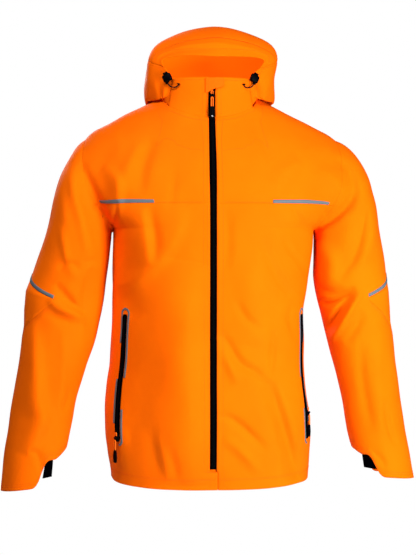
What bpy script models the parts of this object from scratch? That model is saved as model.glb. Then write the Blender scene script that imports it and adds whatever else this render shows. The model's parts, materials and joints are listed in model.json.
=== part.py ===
"""Hooded shell work jacket, filled out and hollow, as if worn.

Metres, +Z up. The front faces -Y and +X is the right-hand side seen from the front.
The origin is the middle of the neck, level with the tops of the shoulders.
Every cloth piece is a wall of one thickness, laid out on a grid of points of one of four forms:
torso, sleeve, collar and hood.
"""

import math
from collections import namedtuple

import bmesh
import bpy
from mathutils import Matrix, Vector

# Cloth and seams
WALL = 0.0016
GAP = 0.0003
LIE = 0.0005

# Torso
TORSO_SQUARE = 2.5
HEM_SIDE_Z = -0.716
HEM_FRONT_DROP = 0.014
HEM_BACK_DROP = 0.016
HEM_SHAPE = 0.9
ARMPIT_Z = -0.236
NECK_HALF = 0.092
NECK_SIDE_Z = 0.020
NECK_FRONT_Z = -0.027
NECK_BACK_Z = 0.005
SHOULDER_SLOPE = 0.505
SHOULDER_HALF = 0.246
ARMHOLE_TUCK = 0.10

# Grid of the torso and the sleeves
AROUND = 24
LOWER_SHARES = (0.0, 0.068, 0.073, 0.19, 0.32, 0.45, 0.58, 0.72, 0.86, 1.0)
LOWER_CELLS = len(LOWER_SHARES) - 1
SPLIT_ROWS = 2
SPLIT_X = 0.0088
SEAM_STEP = 4
NECK_CELLS = 6
SHOULDER_CELLS = 4
UPPER_SLEEVE_CELLS = 6
ELBOW_CELLS = 2
FOREARM_CELLS = 5
COLLAR_CELLS = 4

# Front zip
ZIP_HALF = 0.0065
ZIP_TAPE_HALF = 0.013
ZIP_TAPE = 0.0008
CHAIN_HALF = 0.0034
CHAIN_PROUD = 0.0016
ZIP_BOTTOM_Z = -0.6905
ZIP_TOP_RISE = 0.70
FRONT_SLIDER_Z = 0.0130
HINGE_OUT = 0.0056
PIN_RADIUS = 0.0009

# Tapes and pockets
TAPE = 0.0005
CHEST_TAPE_FROM = 3.3
CHEST_TAPE_TO = 9.1
CHEST_TAPE_LOW = 0.03
CHEST_TAPE_HIGH = 0.27
POCKET_TOP_Z = -0.398
POCKET_LOW_Z = -0.640
POCKET_LEFT_COLUMN = 6.60
POCKET_RIGHT_COLUMN = 7.55
POCKET_LEFT_SLIDER_Z = -0.634
POCKET_RIGHT_SLIDER_Z = -0.590
POCKET_ZIP_HALF = 0.0060
POCKET_ZIP_THICK = 0.0010
POCKET_TRIM_HALF = 0.0125
POCKET_TRIM_WIDE = 0.0050
POCKET_TRIM_END = 0.0125

# Cuff tabs
CUFF_TAB_ANGLES = (116, 124, 132)
CUFF_TAB_ROWS = (0.25, 0.5, 0.78)
CUFF_TAB_THICK = 0.0018

# Cord locks of the hood
LOCK_ANGLE = math.radians(60)
LOCK_RISE = 1.02
LOCK_RADIUS = 0.0050
LOCK_STAND_OFF = 0.0029
LOCK_TILT = math.radians(-25)
CORD_RADIUS = 0.0012
CORD_POINTS = 12
CORD_ROUTE = [
    (61.5, 0.865, 0.0085),
    (60.5, 0.81, 0.0070),
    (58, 0.74, 0.0056),
    (54, 0.70, 0.0042),
    (49, 0.70, 0.0030),
    (45, 0.75, 0.0023),
    (44, 0.83, 0.0019),
]

# Collar
COLLAR_TOP_Z = 0.049
COLLAR_TOP_HALF = 0.0865
COLLAR_TOP_FRONT = 0.083
COLLAR_TOP_MIDDLE = -0.012
COLLAR_END = math.radians(60)

# Sleeve seams
ELBOW_TIP = math.radians(75)
ELBOW_TIP_ROW = 7.1
ELBOW_TIP_OPEN = 0.08
ELBOW_TOP_ROW = 6.2
ELBOW_LOW_ROW = 9.0
CUFF_ROW = 13.0

TorsoRow = namedtuple("TorsoRow", "z half front back sway")
TORSO = [
    TorsoRow(-0.740, 0.1905, 0.122, 0.126, 0.003),
    TorsoRow(-0.706, 0.1920, 0.124, 0.127, 0.003),
    TorsoRow(-0.667, 0.1960, 0.127, 0.129, 0.000),
    TorsoRow(-0.632, 0.1990, 0.129, 0.130, -0.001),
    TorsoRow(-0.585, 0.1985, 0.130, 0.130, -0.003),
    TorsoRow(-0.538, 0.1940, 0.129, 0.128, -0.004),
    TorsoRow(-0.491, 0.1896, 0.128, 0.126, -0.003),
    TorsoRow(-0.445, 0.1877, 0.128, 0.125, -0.001),
    TorsoRow(-0.398, 0.1860, 0.129, 0.126, 0.000),
    TorsoRow(-0.351, 0.1890, 0.131, 0.128, 0.003),
    TorsoRow(-0.293, 0.1935, 0.133, 0.130, 0.007),
    TorsoRow(-0.236, 0.1940, 0.133, 0.132, 0.010),
    TorsoRow(-0.150, 0.1940, 0.131, 0.132, 0.007),
    TorsoRow(-0.060, 0.1940, 0.130, 0.132, 0.006),
    TorsoRow(0.080, 0.1940, 0.130, 0.132, 0.004),
]

# Half distance between the armhole seams, seen from the front
ArmholeRow = namedtuple("ArmholeRow", "z half")
ARMHOLE = [
    ArmholeRow(-0.236, 0.1940),
    ArmholeRow(-0.210, 0.2140),
    ArmholeRow(-0.180, 0.2320),
    ArmholeRow(-0.145, 0.2450),
    ArmholeRow(-0.110, 0.2490),
    ArmholeRow(-0.080, 0.2485),
    ArmholeRow(-0.0556, 0.2460),
    ArmholeRow(0.080, 0.2460),
]

# Sleeve sections: outer and inner side seen from the front, middle and half depth,
# and how far the section bows out along the sleeve at its middle
SleeveRow = namedtuple("SleeveRow", "outer_x outer_z inner_x inner_z y depth bow")
SLEEVE_LEFT = [
    SleeveRow(0.244, -0.057, 0.184, -0.236, 0.000, 0.072, 0.030),
    SleeveRow(0.265, -0.090, 0.1875, -0.246, 0.000, 0.077, 0.032),
    SleeveRow(0.286, -0.130, 0.1885, -0.256, 0.000, 0.081, 0.031),
    SleeveRow(0.299, -0.175, 0.1895, -0.266, 0.000, 0.083, 0.027),
    SleeveRow(0.309, -0.222, 0.1905, -0.279, 0.000, 0.083, 0.020),
    SleeveRow(0.322, -0.269, 0.1925, -0.300, 0.000, 0.081, 0.012),
    SleeveRow(0.340, -0.320, 0.1970, -0.332, 0.001, 0.079, 0.005),
    SleeveRow(0.356, -0.368, 0.2030, -0.374, 0.002, 0.077, 0.000),
    SleeveRow(0.355, -0.410, 0.2095, -0.410, 0.001, 0.075, 0.000),
    SleeveRow(0.360, -0.450, 0.2190, -0.448, -0.003, 0.071, 0.000),
    SleeveRow(0.368, -0.505, 0.2360, -0.500, -0.010, 0.066, 0.000),
    SleeveRow(0.378, -0.560, 0.2545, -0.556, -0.017, 0.061, 0.000),
    SleeveRow(0.386, -0.618, 0.2640, -0.606, -0.024, 0.057, 0.000),
    SleeveRow(0.392, -0.662, 0.2720, -0.648, -0.029, 0.055, 0.000),
    SleeveRow(0.400, -0.736, 0.2860, -0.722, -0.036, 0.054, 0.000),
]
SLEEVE_RIGHT = [
    SleeveRow(0.248, -0.057, 0.204, -0.236, 0.000, 0.072, 0.030),
    SleeveRow(0.283, -0.086, 0.2075, -0.246, 0.000, 0.077, 0.032),
    SleeveRow(0.309, -0.125, 0.2085, -0.256, 0.000, 0.081, 0.031),
    SleeveRow(0.323, -0.168, 0.2085, -0.266, 0.000, 0.083, 0.027),
    SleeveRow(0.331, -0.215, 0.2085, -0.279, 0.000, 0.083, 0.020),
    SleeveRow(0.340, -0.262, 0.2080, -0.300, 0.000, 0.081, 0.012),
    SleeveRow(0.349, -0.316, 0.2080, -0.330, 0.001, 0.079, 0.005),
    SleeveRow(0.357, -0.366, 0.2140, -0.370, 0.002, 0.076, 0.000),
    SleeveRow(0.356, -0.405, 0.2240, -0.407, 0.001, 0.073, 0.000),
    SleeveRow(0.362, -0.448, 0.2335, -0.448, -0.003, 0.069, 0.000),
    SleeveRow(0.368, -0.500, 0.2460, -0.500, -0.010, 0.064, 0.000),
    SleeveRow(0.374, -0.556, 0.2590, -0.556, -0.017, 0.060, 0.000),
    SleeveRow(0.380, -0.612, 0.2670, -0.606, -0.024, 0.056, 0.000),
    SleeveRow(0.387, -0.655, 0.2740, -0.648, -0.029, 0.054, 0.000),
    SleeveRow(0.398, -0.718, 0.2920, -0.710, -0.036, 0.053, 0.000),
]

# How far the cuff edge reaches past the cuff row, by angle from the outer side in degrees
CuffRow = namedtuple("CuffRow", "angle reach")
CUFF_TURN = {"left": 0, "right": 9}
CUFF_EDGE = [
    CuffRow(0, 1.00),
    CuffRow(88, 1.00),
    CuffRow(103, 0.90),
    CuffRow(113, 0.42),
    CuffRow(135, 0.36),
    CuffRow(180, 0.08),
]

# Hood arches from the face opening back to the nape. Each half arch starts on the neck
# seam and passes its fold, its side and its corner to the middle of the top.
HoodRow = namedtuple(
    "HoodRow",
    "start fold_x fold_y fold_z side_x side_y side_z corner_x corner_y corner_z top_y top_z lean",
)
HOOD = [
    HoodRow(60, 0.079, -0.062, 0.025, 0.0745, -0.068, 0.053, 0.096, -0.060, 0.088, -0.086, 0.090, 0.006),
    HoodRow(75, 0.103, -0.044, 0.013, 0.1165, -0.040, 0.056, 0.110, -0.040, 0.105, -0.064, 0.130, 0.010),
    HoodRow(90, 0.124, -0.006, 0.010, 0.1265, 0.000, 0.050, 0.110, 0.000, 0.124, 0.000, 0.158, 0.012),
    HoodRow(98, 0.119, 0.030, 0.009, 0.1225, 0.055, 0.045, 0.101, 0.075, 0.110, 0.085, 0.141, 0.008),
    HoodRow(103, 0.112, 0.052, 0.006, 0.1120, 0.095, 0.022, 0.086, 0.135, 0.058, 0.160, 0.080, 0.004),
    HoodRow(106, 0.105, 0.062, 0.002, 0.1000, 0.100, -0.004, 0.070, 0.140, 0.006, 0.172, 0.016, 0.001),
]
NAPE_START = math.radians(108)
HOOD_CLEAR = 0.0017
HOOD_CELLS = 20
HOOD_ROWS = 12
HOOD_SPAN = 10
HOOD_SEAM = 3.5
HOOD_EDGE_SLIP = 0.03
HOOD_UNDER_RISE = 0.0045
HOOD_SIDE_LEAN = 0.35


def read(rows, at, field):
    """Smooth value of one column at a key, the rows' first column being the key."""
    keys = [row[0] for row in rows]
    values = [getattr(row, field) for row in rows]
    return through(keys, values, at)


def through(keys, values, at):
    """Cubic through the given values, with the slopes of a Catmull-Rom curve."""
    last = len(keys) - 1
    at = min(max(at, keys[0]), keys[last])
    i = 0
    while i < last - 1 and at > keys[i + 1]:
        i += 1
    span = keys[i + 1] - keys[i]
    t = (at - keys[i]) / span

    def slope(k):
        low = max(k - 1, 0)
        high = min(k + 1, last)
        return (values[high] - values[low]) * (span / (keys[high] - keys[low]))

    a = values[i]
    b = values[i + 1]
    return (
        a * (2 * t**3 - 3 * t**2 + 1)
        + b * (3 * t**2 - 2 * t**3)
        + slope(i) * (t**3 - 2 * t**2 + t)
        + slope(i + 1) * (t**3 - t**2)
    )


def power(value, exponent):
    """A power that keeps the sign."""
    return math.copysign(abs(value) ** exponent, value)


def shoulder_line(x):
    """Height of the shoulder seam at a distance from the middle."""
    return NECK_SIDE_Z - SHOULDER_SLOPE * (abs(x) - NECK_HALF)


SHOULDER_Z = shoulder_line(SHOULDER_HALF)


def armhole_share(z):
    """Part of the section's half width at which the armhole seam lies."""
    v = min(max((z - ARMPIT_Z) / (SHOULDER_Z - ARMPIT_Z), 0.0), 1.0)
    return 1 - ARMHOLE_TUCK * (1 - (1 - v) ** 4)


def torso_half(z):
    """Half width of the torso section at a height."""
    if z <= ARMPIT_Z:
        return read(TORSO, z, "half")
    return read(ARMHOLE, z, "half") / armhole_share(z)


def torso(turn, height):
    """A point of the torso. Turn is 0 at the front middle and a right angle at the side.

    Below the armpits the height is measured from the armpits, downwards. Above them it
    is the angle of rise, a right angle being the shoulder seam.
    """
    lift = math.sin(max(height, 0.0))
    z = ARMPIT_Z + min(height, 0.0)
    x = 0.0
    for _ in range(8):
        x = torso_half(z) * power(math.sin(turn), 2 / TORSO_SQUARE)
        if height <= 0:
            break
        z = ARMPIT_Z + (shoulder_line(x) - ARMPIT_Z) * lift
    depth = read(TORSO, z, "front" if math.cos(turn) > 0 else "back")
    y = -depth * power(math.cos(turn), 2 / TORSO_SQUARE) * math.cos(max(height, 0.0))
    sway = read(TORSO, z, "sway") * math.sin(turn) ** 2
    return Vector((x + sway, y, z))


def normal_of(form, a, b, centre):
    """Outward normal of a form by small steps, away from a centre."""
    step = 0.004
    along = form(a + step, b) - form(a - step, b)
    up = form(a, b + step) - form(a, b - step)
    normal = along.cross(up).normalized()
    if normal.dot(form(a, b) - centre) < 0:
        normal.negate()
    return normal


def turn_at(x, z):
    """Turn of the torso section at a distance from the middle."""
    share = min(abs(x) / torso_half(z), 1.0)
    return math.copysign(math.asin(share ** (TORSO_SQUARE / 2)), x)


def rise_at(x, z):
    """Height value of the torso form at a height above the armpits."""
    share = (z - ARMPIT_Z) / (shoulder_line(x) - ARMPIT_Z)
    return math.asin(min(max(share, 0.0), 1.0))


def neck_z(x, face):
    """Height of the neck seam at a distance from the middle."""
    low = NECK_FRONT_Z if face < 0 else NECK_BACK_Z
    round_off = math.sqrt(max(1 - (x / NECK_HALF) ** 2, 0.0))
    return low + (NECK_SIDE_Z - low) * (1 - round_off)


def faced(turn, face):
    """The same turn on the front, face -1, or on the back, face +1."""
    return turn if face < 0 else math.copysign(math.pi, turn) - turn


def neck(angle):
    """A point of the neck seam, by its angle from the front middle."""
    x = NECK_HALF * math.sin(angle)
    face = -1 if math.cos(angle) >= 0 else 1
    z = neck_z(x, face)
    return torso(faced(turn_at(x, z), face), rise_at(x, z))


def armhole_z(angle):
    """Height of the armhole seam by its angle from the shoulder."""
    return ARMPIT_Z + (SHOULDER_Z - ARMPIT_Z) * (1 + math.cos(angle)) / 2


def armhole_turn(z):
    """Turn of the torso form at the armhole seam."""
    return math.asin(armhole_share(z) ** (TORSO_SQUARE / 2))


def armhole(side, angle):
    """A point of the armhole seam. The angle runs from the shoulder over the front."""
    z = armhole_z(angle)
    turn = armhole_turn(z)
    rise = rise_at(torso_half(z) * armhole_share(z), z)
    face = -1 if math.sin(angle) >= 0 else 1
    return torso(faced(side * turn, face), rise)


class Grid:
    """Points of a cloth piece on its outer face, and their normals, row by row."""

    def __init__(self, rows, normals, wrapped=False):
        self.rows = rows
        self.normals = normals
        self.wrapped = wrapped
        self.across = len(rows[0]) - (0 if wrapped else 1)

    def row_at(self, column, z):
        """The row at which a column of the grid passes a height."""
        low = 0.0
        high = len(self.rows) - 1.0
        for _ in range(24):
            middle = (low + high) / 2
            if self.at(column, middle).z < z:
                low = middle
            else:
                high = middle
        return low

    def normal(self, column, row):
        """Outward direction at a point of the faceted face."""
        return (self.at(column, row, 1.0) - self.at(column, row)).normalized()

    def at(self, column, row, out=0.0):
        """A point of the faceted outer face, moved out along the normal."""
        if self.wrapped:
            column = column % self.across
        i = min(int(math.floor(column)), self.across - 1)
        j = min(int(math.floor(row)), len(self.rows) - 2)
        p = column - i
        q = row - j
        k = (i + 1) % len(self.rows[0])
        corners = []
        for points in (self.rows, self.normals):
            first = points[j][i]
            last = points[j + 1][k]
            if p >= q:
                corners.append(first + (points[j][k] - first) * (p - q) + (last - first) * q)
            else:
                corners.append(first + (points[j + 1][i] - first) * (q - p) + (last - first) * p)
        return corners[0] + corners[1].normalized() * out


def material(name, colour, roughness, metallic=0.0):
    """A plain material."""
    made = bpy.data.materials.get(name)
    if made is None:
        made = bpy.data.materials.new(name)
        made.use_nodes = True
        shader = made.node_tree.nodes["Principled BSDF"]
        shader.inputs["Base Color"].default_value = (*colour, 1.0)
        shader.inputs["Roughness"].default_value = roughness
        shader.inputs["Metallic"].default_value = metallic
    return made


def shell_fabric():
    return material("shell_fabric", (0.95, 0.25, 0.01), 0.65)


def black_zip():
    return material("black_zip", (0.006, 0.007, 0.01), 0.45)


def reflective():
    return material("reflective_tape", (0.25, 0.30, 0.33), 0.35)


def black_plastic():
    return material("black_plastic", (0.008, 0.008, 0.01), 0.4)


def finish(name, work, finish_of, smooth_angle=math.radians(50)):
    """Make an object of a bmesh."""
    bmesh.ops.recalc_face_normals(work, faces=work.faces)
    mesh = bpy.data.meshes.new(name)
    work.to_mesh(mesh)
    work.free()
    mesh.materials.append(finish_of)
    mesh.shade_smooth()
    mesh.set_sharp_from_angle(angle=smooth_angle)
    made = bpy.data.objects.new(name, mesh)
    bpy.context.scene.collection.objects.link(made)
    return made


def cloth(name, grid, finish_of, skip=None, wall=WALL, out=0.0):
    """A wall of cloth on a grid: outer face, inner face and the rims between them."""
    work = bmesh.new()
    rows = range(len(grid.rows))
    columns = range(len(grid.rows[0]))
    used = set()
    cells = []
    for j in rows[:-1]:
        for i in range(grid.across):
            if skip and skip(i, j):
                continue
            k = (i + 1) % len(grid.rows[0])
            cells.append((j, i, k))
            used.update(((j, i), (j, k), (j + 1, i), (j + 1, k)))
    layers = []
    for depth in (out, out - wall):
        layer = {}
        for j in rows:
            for i in columns:
                if (j, i) in used:
                    layer[j, i] = work.verts.new(grid.rows[j][i] + grid.normals[j][i] * depth)
        layers.append(layer)
    edges = {}
    for j, i, k in cells:
        loop = [(j, i), (j, k), (j + 1, k), (j + 1, i)]
        for layer in layers:
            a, b, c, d = (layer[key] for key in loop)
            work.faces.new((a, b, c))
            work.faces.new((a, c, d))
        for first, second in zip(loop, loop[1:] + loop[:1]):
            key = tuple(sorted((first, second)))
            edges[key] = edges.get(key, 0) + 1
    for (first, second), count in edges.items():
        if count == 1:
            outer, inner = layers
            work.faces.new((outer[first], outer[second], inner[second]))
            work.faces.new((outer[first], inner[second], inner[first]))
    return finish(name, work, finish_of)


def ribbon(name, grid, stations, finish_of, thick, out=LIE):
    """A flat strip that lies on a panel. Each station is (column, row) of its two edges."""
    rows = []
    normals = []
    for left, right in stations:
        rows.append([grid.at(*left), grid.at(*right)])
        middle = (grid.at(*left, 1.0) - grid.at(*left) + grid.at(*right, 1.0) - grid.at(*right))
        normals.append([middle.normalized()] * 2)
    return cloth(name, Grid(rows, normals), finish_of, wall=thick, out=out + thick)


# ------------------------------------------------------------------ torso pieces


def hem_z(turn):
    """Height of the hem round the body."""
    drop = HEM_FRONT_DROP if math.cos(turn) > 0 else HEM_BACK_DROP
    return HEM_SIDE_Z - drop * abs(math.cos(turn)) ** HEM_SHAPE


def torso_point(side, face, column, row, edge_x):
    """Turn and height of one grid point of a quarter of the torso."""
    columns = NECK_CELLS + SHOULDER_CELLS
    share = column / columns
    seam_z = armhole_z(math.pi * (1 - SEAM_STEP * 2 / AROUND))
    if row <= LOWER_CELLS:
        if face < 0 and row < SPLIT_ROWS:
            edge_x = side * SPLIT_X + GAP / 2
        along_hem = turn_at(edge_x, HEM_SIDE_Z) * (1 - share) + math.pi / 2 * share
        low = hem_z(faced(along_hem, face))
        z = low + (ARMPIT_Z - low) * LOWER_SHARES[row]
        first = turn_at(edge_x, z)
        slip = GAP / 2 / read(TORSO, z, "front")
        turn = first * (1 - share) + (math.pi / 2 - slip) * share
        return faced(side * turn, face), z - ARMPIT_Z
    level = armhole_z(math.pi * (1 - (row - LOWER_CELLS) * 2 / AROUND))
    end = armhole_turn(level)
    if row <= LOWER_CELLS + SEAM_STEP:
        turn = turn_at(edge_x, level) * (1 - share) + end * share
        x = torso_half(level) * math.sin(turn) ** (2 / TORSO_SQUARE)
        return faced(side * turn, face), rise_at(x, level)
    climb = (level - seam_z) / (SHOULDER_Z - seam_z)
    if column <= NECK_CELLS:
        top_x = NECK_HALF * math.sin(math.pi / 2 * column / NECK_CELLS)
        top_x = max(top_x, edge_x)
    else:
        top_x = NECK_HALF + (SHOULDER_HALF - NECK_HALF) * (column - NECK_CELLS) / SHOULDER_CELLS
    z = level
    turn = end
    for _ in range(8):
        bottom = turn_at(edge_x, seam_z) * (1 - share) + armhole_turn(seam_z) * share
        top_z = neck_z(top_x, face) if column <= NECK_CELLS else shoulder_line(top_x)
        top = turn_at(top_x, top_z)
        turn = bottom + (top - bottom) * climb
        if column == columns:
            turn = end
            z = level
            break
        x = torso_half(z) * math.sin(turn) ** (2 / TORSO_SQUARE)
        limit = neck_z(min(x, NECK_HALF), face) if column <= NECK_CELLS else shoulder_line(x)
        z = seam_z + (limit - seam_z) * climb
    x = torso_half(z) * math.sin(turn) ** (2 / TORSO_SQUARE)
    return faced(side * turn, face), rise_at(x, z)


def quarter(side, face, rows, edge_x):
    """Grid of a quarter of the torso, columns from the middle to the side."""
    columns = NECK_CELLS + SHOULDER_CELLS
    top = LOWER_CELLS + AROUND // 2
    points = []
    normals = []
    for row in rows:
        line = []
        out = []
        for column in range(columns + 1):
            turn, height = torso_point(side, face, column, row, edge_x)
            point = torso(turn, height)
            centre = Vector((0.0, 0.0, min(point.z, ARMPIT_Z)))
            nudge = 0.006
            inner = height if height < 0 else min(height, math.pi / 2 - nudge)
            normal = normal_of(torso, turn, inner, centre)
            if row == top and column >= NECK_CELLS:
                normal = Vector((side * SHOULDER_SLOPE, 0.0, 1.0)).normalized()
                point = point + Vector((0.0, face * GAP / 2, 0.0))
            line.append(point)
            out.append(normal)
        points.append(line)
        normals.append(out)
    return Grid(points, normals)


def shifted(grid, row, way):
    """Move one row of a grid along itself by half the seam gap, up or down."""
    near = row + (1 if row == 0 else -1)
    for column in range(len(grid.rows[row])):
        direction = (grid.rows[near][column] - grid.rows[row][column]).normalized()
        grid.rows[row][column] = grid.rows[row][column] + direction * way * GAP / 2


def front_panels(side, name):
    """Lower front and yoke of one side."""
    seam = LOWER_CELLS + SEAM_STEP
    top = LOWER_CELLS + AROUND // 2
    lower = quarter(side, -1, range(0, seam + 1), ZIP_HALF)
    yoke = quarter(side, -1, range(seam, top + 1), ZIP_HALF)
    shifted(lower, seam, 1)
    shifted(yoke, 0, 1)
    cloth("front_lower_" + name, lower, shell_fabric())
    cloth("front_yoke_" + name, yoke, shell_fabric())
    return lower, yoke


def back_panel():
    """The back in one piece."""
    rows = range(0, LOWER_CELLS + AROUND // 2 + 1)
    left = quarter(-1, 1, rows, 0.0)
    right = quarter(1, 1, rows, 0.0)
    points = [list(reversed(a)) + b[1:] for a, b in zip(left.rows, right.rows)]
    normals = [list(reversed(a)) + b[1:] for a, b in zip(left.normals, right.normals)]
    cloth("back", Grid(points, normals), shell_fabric())


# ----------------------------------------------------------------------- sleeves


def sleeve_form(side, table):
    """The form of one sleeve: a function of the angle from its outer side and the row."""
    keys = list(range(len(table)))

    def value(field, row):
        return through(keys, [getattr(entry, field) for entry in table], row)

    def section(angle, row):
        outer = Vector((side * value("outer_x", row), 0.0, value("outer_z", row)))
        inner = Vector((side * value("inner_x", row), 0.0, value("inner_z", row)))
        half = (outer - inner) / 2
        down = Vector((half.z, 0.0, -half.x)).normalized() * side
        centre = (outer + inner) / 2 + Vector((0.0, value("y", row), 0.0))
        bow = value("bow", row) * math.sin(angle) ** 2
        depth = value("depth", row) * power(math.sin(angle), 0.92)
        return centre + half * math.cos(angle) + down * bow + Vector((0.0, -depth, 0.0))

    def form(angle, row):
        point = section(angle, row)
        hold = max(1 - row / 3.0, 0.0) ** 2
        if hold > 0:
            point = point + (armhole(side, angle) - section(angle, 0)) * hold
        return point

    return form


def cuff_reach(angle, turn):
    """Row of the cuff edge at an angle, for a cuff turned by some degrees."""
    turned = math.degrees(math.acos(max(min(math.cos(angle), 1.0), -1.0)))
    return CUFF_ROW + read(CUFF_EDGE, turned - turn, "reach")


def elbow_rows(angle):
    """Upper and lower row of the elbow panel at an angle."""
    turned = math.acos(max(min(math.cos(angle), 1.0), -1.0))
    open_up = max(1 - turned / ELBOW_TIP, 0.0)
    tip_up = ELBOW_TIP_ROW - ELBOW_TIP_OPEN
    tip_low = ELBOW_TIP_ROW + ELBOW_TIP_OPEN
    upper = tip_up + (ELBOW_TOP_ROW - tip_up) * open_up
    lower = tip_low + (ELBOW_LOW_ROW - tip_low) * open_up
    return upper, lower


def sleeve_row(angle, cell, turn):
    """Row of the sleeve form at a grid line."""
    upper, lower = elbow_rows(angle)
    if cell <= UPPER_SLEEVE_CELLS:
        return upper * cell / UPPER_SLEEVE_CELLS
    if cell <= UPPER_SLEEVE_CELLS + ELBOW_CELLS:
        return upper + (lower - upper) * (cell - UPPER_SLEEVE_CELLS) / ELBOW_CELLS
    edge = cuff_reach(angle, turn)
    past = (cell - UPPER_SLEEVE_CELLS - ELBOW_CELLS) / FOREARM_CELLS
    return lower + (edge - lower) * past


def form_grid(form, angles, row_of, cells, axis_of):
    """Grid of a tube form."""
    points = []
    normals = []
    for cell in cells:
        line = []
        out = []
        for angle in angles:
            row = row_of(angle, cell)
            line.append(form(angle, row))
            out.append(normal_of(form, angle, max(row, 0.01), axis_of(row)))
        points.append(line)
        normals.append(out)
    return points, normals


def sleeve(side, table, name):
    """Sleeve and its elbow panel."""
    form = sleeve_form(side, table)
    angles = [2 * math.pi * k / AROUND for k in range(AROUND)]
    cells = UPPER_SLEEVE_CELLS + ELBOW_CELLS + FOREARM_CELLS

    def axis_of(row):
        return (form(0.0, row) + form(math.pi, row)) / 2 + Vector((0.0, 0.0, -0.03 if row < 1 else 0.0))

    def row_of(angle, cell):
        return sleeve_row(angle, cell, CUFF_TURN[name])

    points, normals = form_grid(form, angles, row_of, range(cells + 1), axis_of)
    for column, angle in enumerate(angles):
        away = (form(angle, 0.2) - form(angle, 0.0)).normalized()
        points[0][column] = points[0][column] + away * GAP + Vector((side * 2 * GAP, 0.0, 0.0))
    grid = Grid(points, normals, wrapped=True)
    reach = round(ELBOW_TIP / (2 * math.pi) * AROUND)

    def in_elbow(column, row):
        in_rows = UPPER_SLEEVE_CELLS <= row < UPPER_SLEEVE_CELLS + ELBOW_CELLS
        return in_rows and (column < reach or column >= AROUND - reach)

    cloth("sleeve_" + name, grid, shell_fabric(), skip=in_elbow)

    slip = 0.004
    row_slip = 0.008
    elbow_angles = [2 * math.pi * k / AROUND for k in range(-reach, reach + 1)]
    elbow_angles[0] += slip
    elbow_angles[-1] -= slip

    def elbow_row(angle, cell):
        upper, lower = elbow_rows(angle)
        return upper + row_slip + (lower - upper - 2 * row_slip) * cell / ELBOW_CELLS

    points, normals = form_grid(form, elbow_angles, elbow_row, range(ELBOW_CELLS + 1), axis_of)
    cloth("elbow_" + name, Grid(points, normals), shell_fabric())
    return grid, form, axis_of


# --------------------------------------------------------------- collar and hood


def collar(angle, rise):
    """A point of the stand collar: angle from the front middle, rise 0 at the neck seam."""
    low = neck(angle) + Vector((0.0, 0.0, GAP * 1.5))
    top_x = COLLAR_TOP_HALF * math.sin(angle)
    top_y = COLLAR_TOP_MIDDLE - COLLAR_TOP_FRONT * power(math.cos(angle), 0.6)
    top = Vector((top_x, top_y, COLLAR_TOP_Z))
    return low + (top - low) * rise


def collar_angles(side):
    """Angles of the collar's grid lines, from the zip to the hood."""
    angles = [COLLAR_END * k / COLLAR_CELLS for k in range(COLLAR_CELLS + 1)]
    angles[0] = math.asin(ZIP_HALF / NECK_HALF)
    angles[-1] -= 0.014
    return [side * angle for angle in angles]


def collar_panel(side, name):
    """Front part of the stand collar, one side of the zip."""
    points = []
    normals = []
    for cell in range(4):
        rise = cell / 3
        points.append([collar(angle, rise) for angle in collar_angles(side)])
        centre = Vector((0.0, 0.0, 0.0))
        normals.append([normal_of(collar, angle, rise, centre) for angle in collar_angles(side)])
    for normal_row in normals:
        for normal in normal_row:
            normal.z = 0.0
            normal.normalize()
    grid = Grid(points, normals)
    cloth("collar_" + name, grid, shell_fabric())
    return grid


def hood_arch(row):
    """The key points of a hood arch, left end to right end."""
    if row == len(HOOD):
        turns = [NAPE_START + (math.pi - NAPE_START) * k / 5 for k in range(6)]
        right = [neck(turn) + Vector((0.0, 0.0, HOOD_CLEAR)) for turn in turns]
        left = [neck(-turn) + Vector((0.0, 0.0, HOOD_CLEAR)) for turn in turns[:-1]]
        return left + list(reversed(right))
    keys = HOOD[row]
    start = math.radians(keys.start)
    arch = []
    for side in (-1, 1):
        end = neck(side * start) + Vector((0.0, 0.0, HOOD_CLEAR))
        fold = Vector((side * keys.fold_x, keys.fold_y, keys.fold_z))
        flank = Vector((side * keys.side_x, keys.side_y, keys.side_z))
        if row == 0:
            fold = collar(side * COLLAR_END, 0.5)
            flank = collar(side * COLLAR_END, 1.0)
        else:
            fold.x += HOOD_SIDE_LEAN * keys.lean
            flank.x += HOOD_SIDE_LEAN * keys.lean
        under = (end + fold) / 2 + Vector((0.0, 0.0, HOOD_UNDER_RISE if row else 0.0))
        corner = Vector((side * keys.corner_x + keys.lean, keys.corner_y, keys.corner_z))
        arch.append([end, under, fold, flank, corner])
    top = Vector((keys.lean, keys.top_y, keys.top_z))
    return arch[0] + [top] + list(reversed(arch[1]))


HOOD_ARCHES = [hood_arch(row) for row in range(len(HOOD) + 1)]


def hood(across, row):
    """A point of the hood: across runs from left to right, the row back to the nape."""
    keys = list(range(HOOD_SPAN + 1))
    rows = list(range(len(HOOD_ARCHES)))
    point = []
    for axis in range(3):
        down = [through(keys, [p[axis] for p in arch], across) for arch in HOOD_ARCHES]
        point.append(through(rows, down, row))
    return Vector(point)


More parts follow.
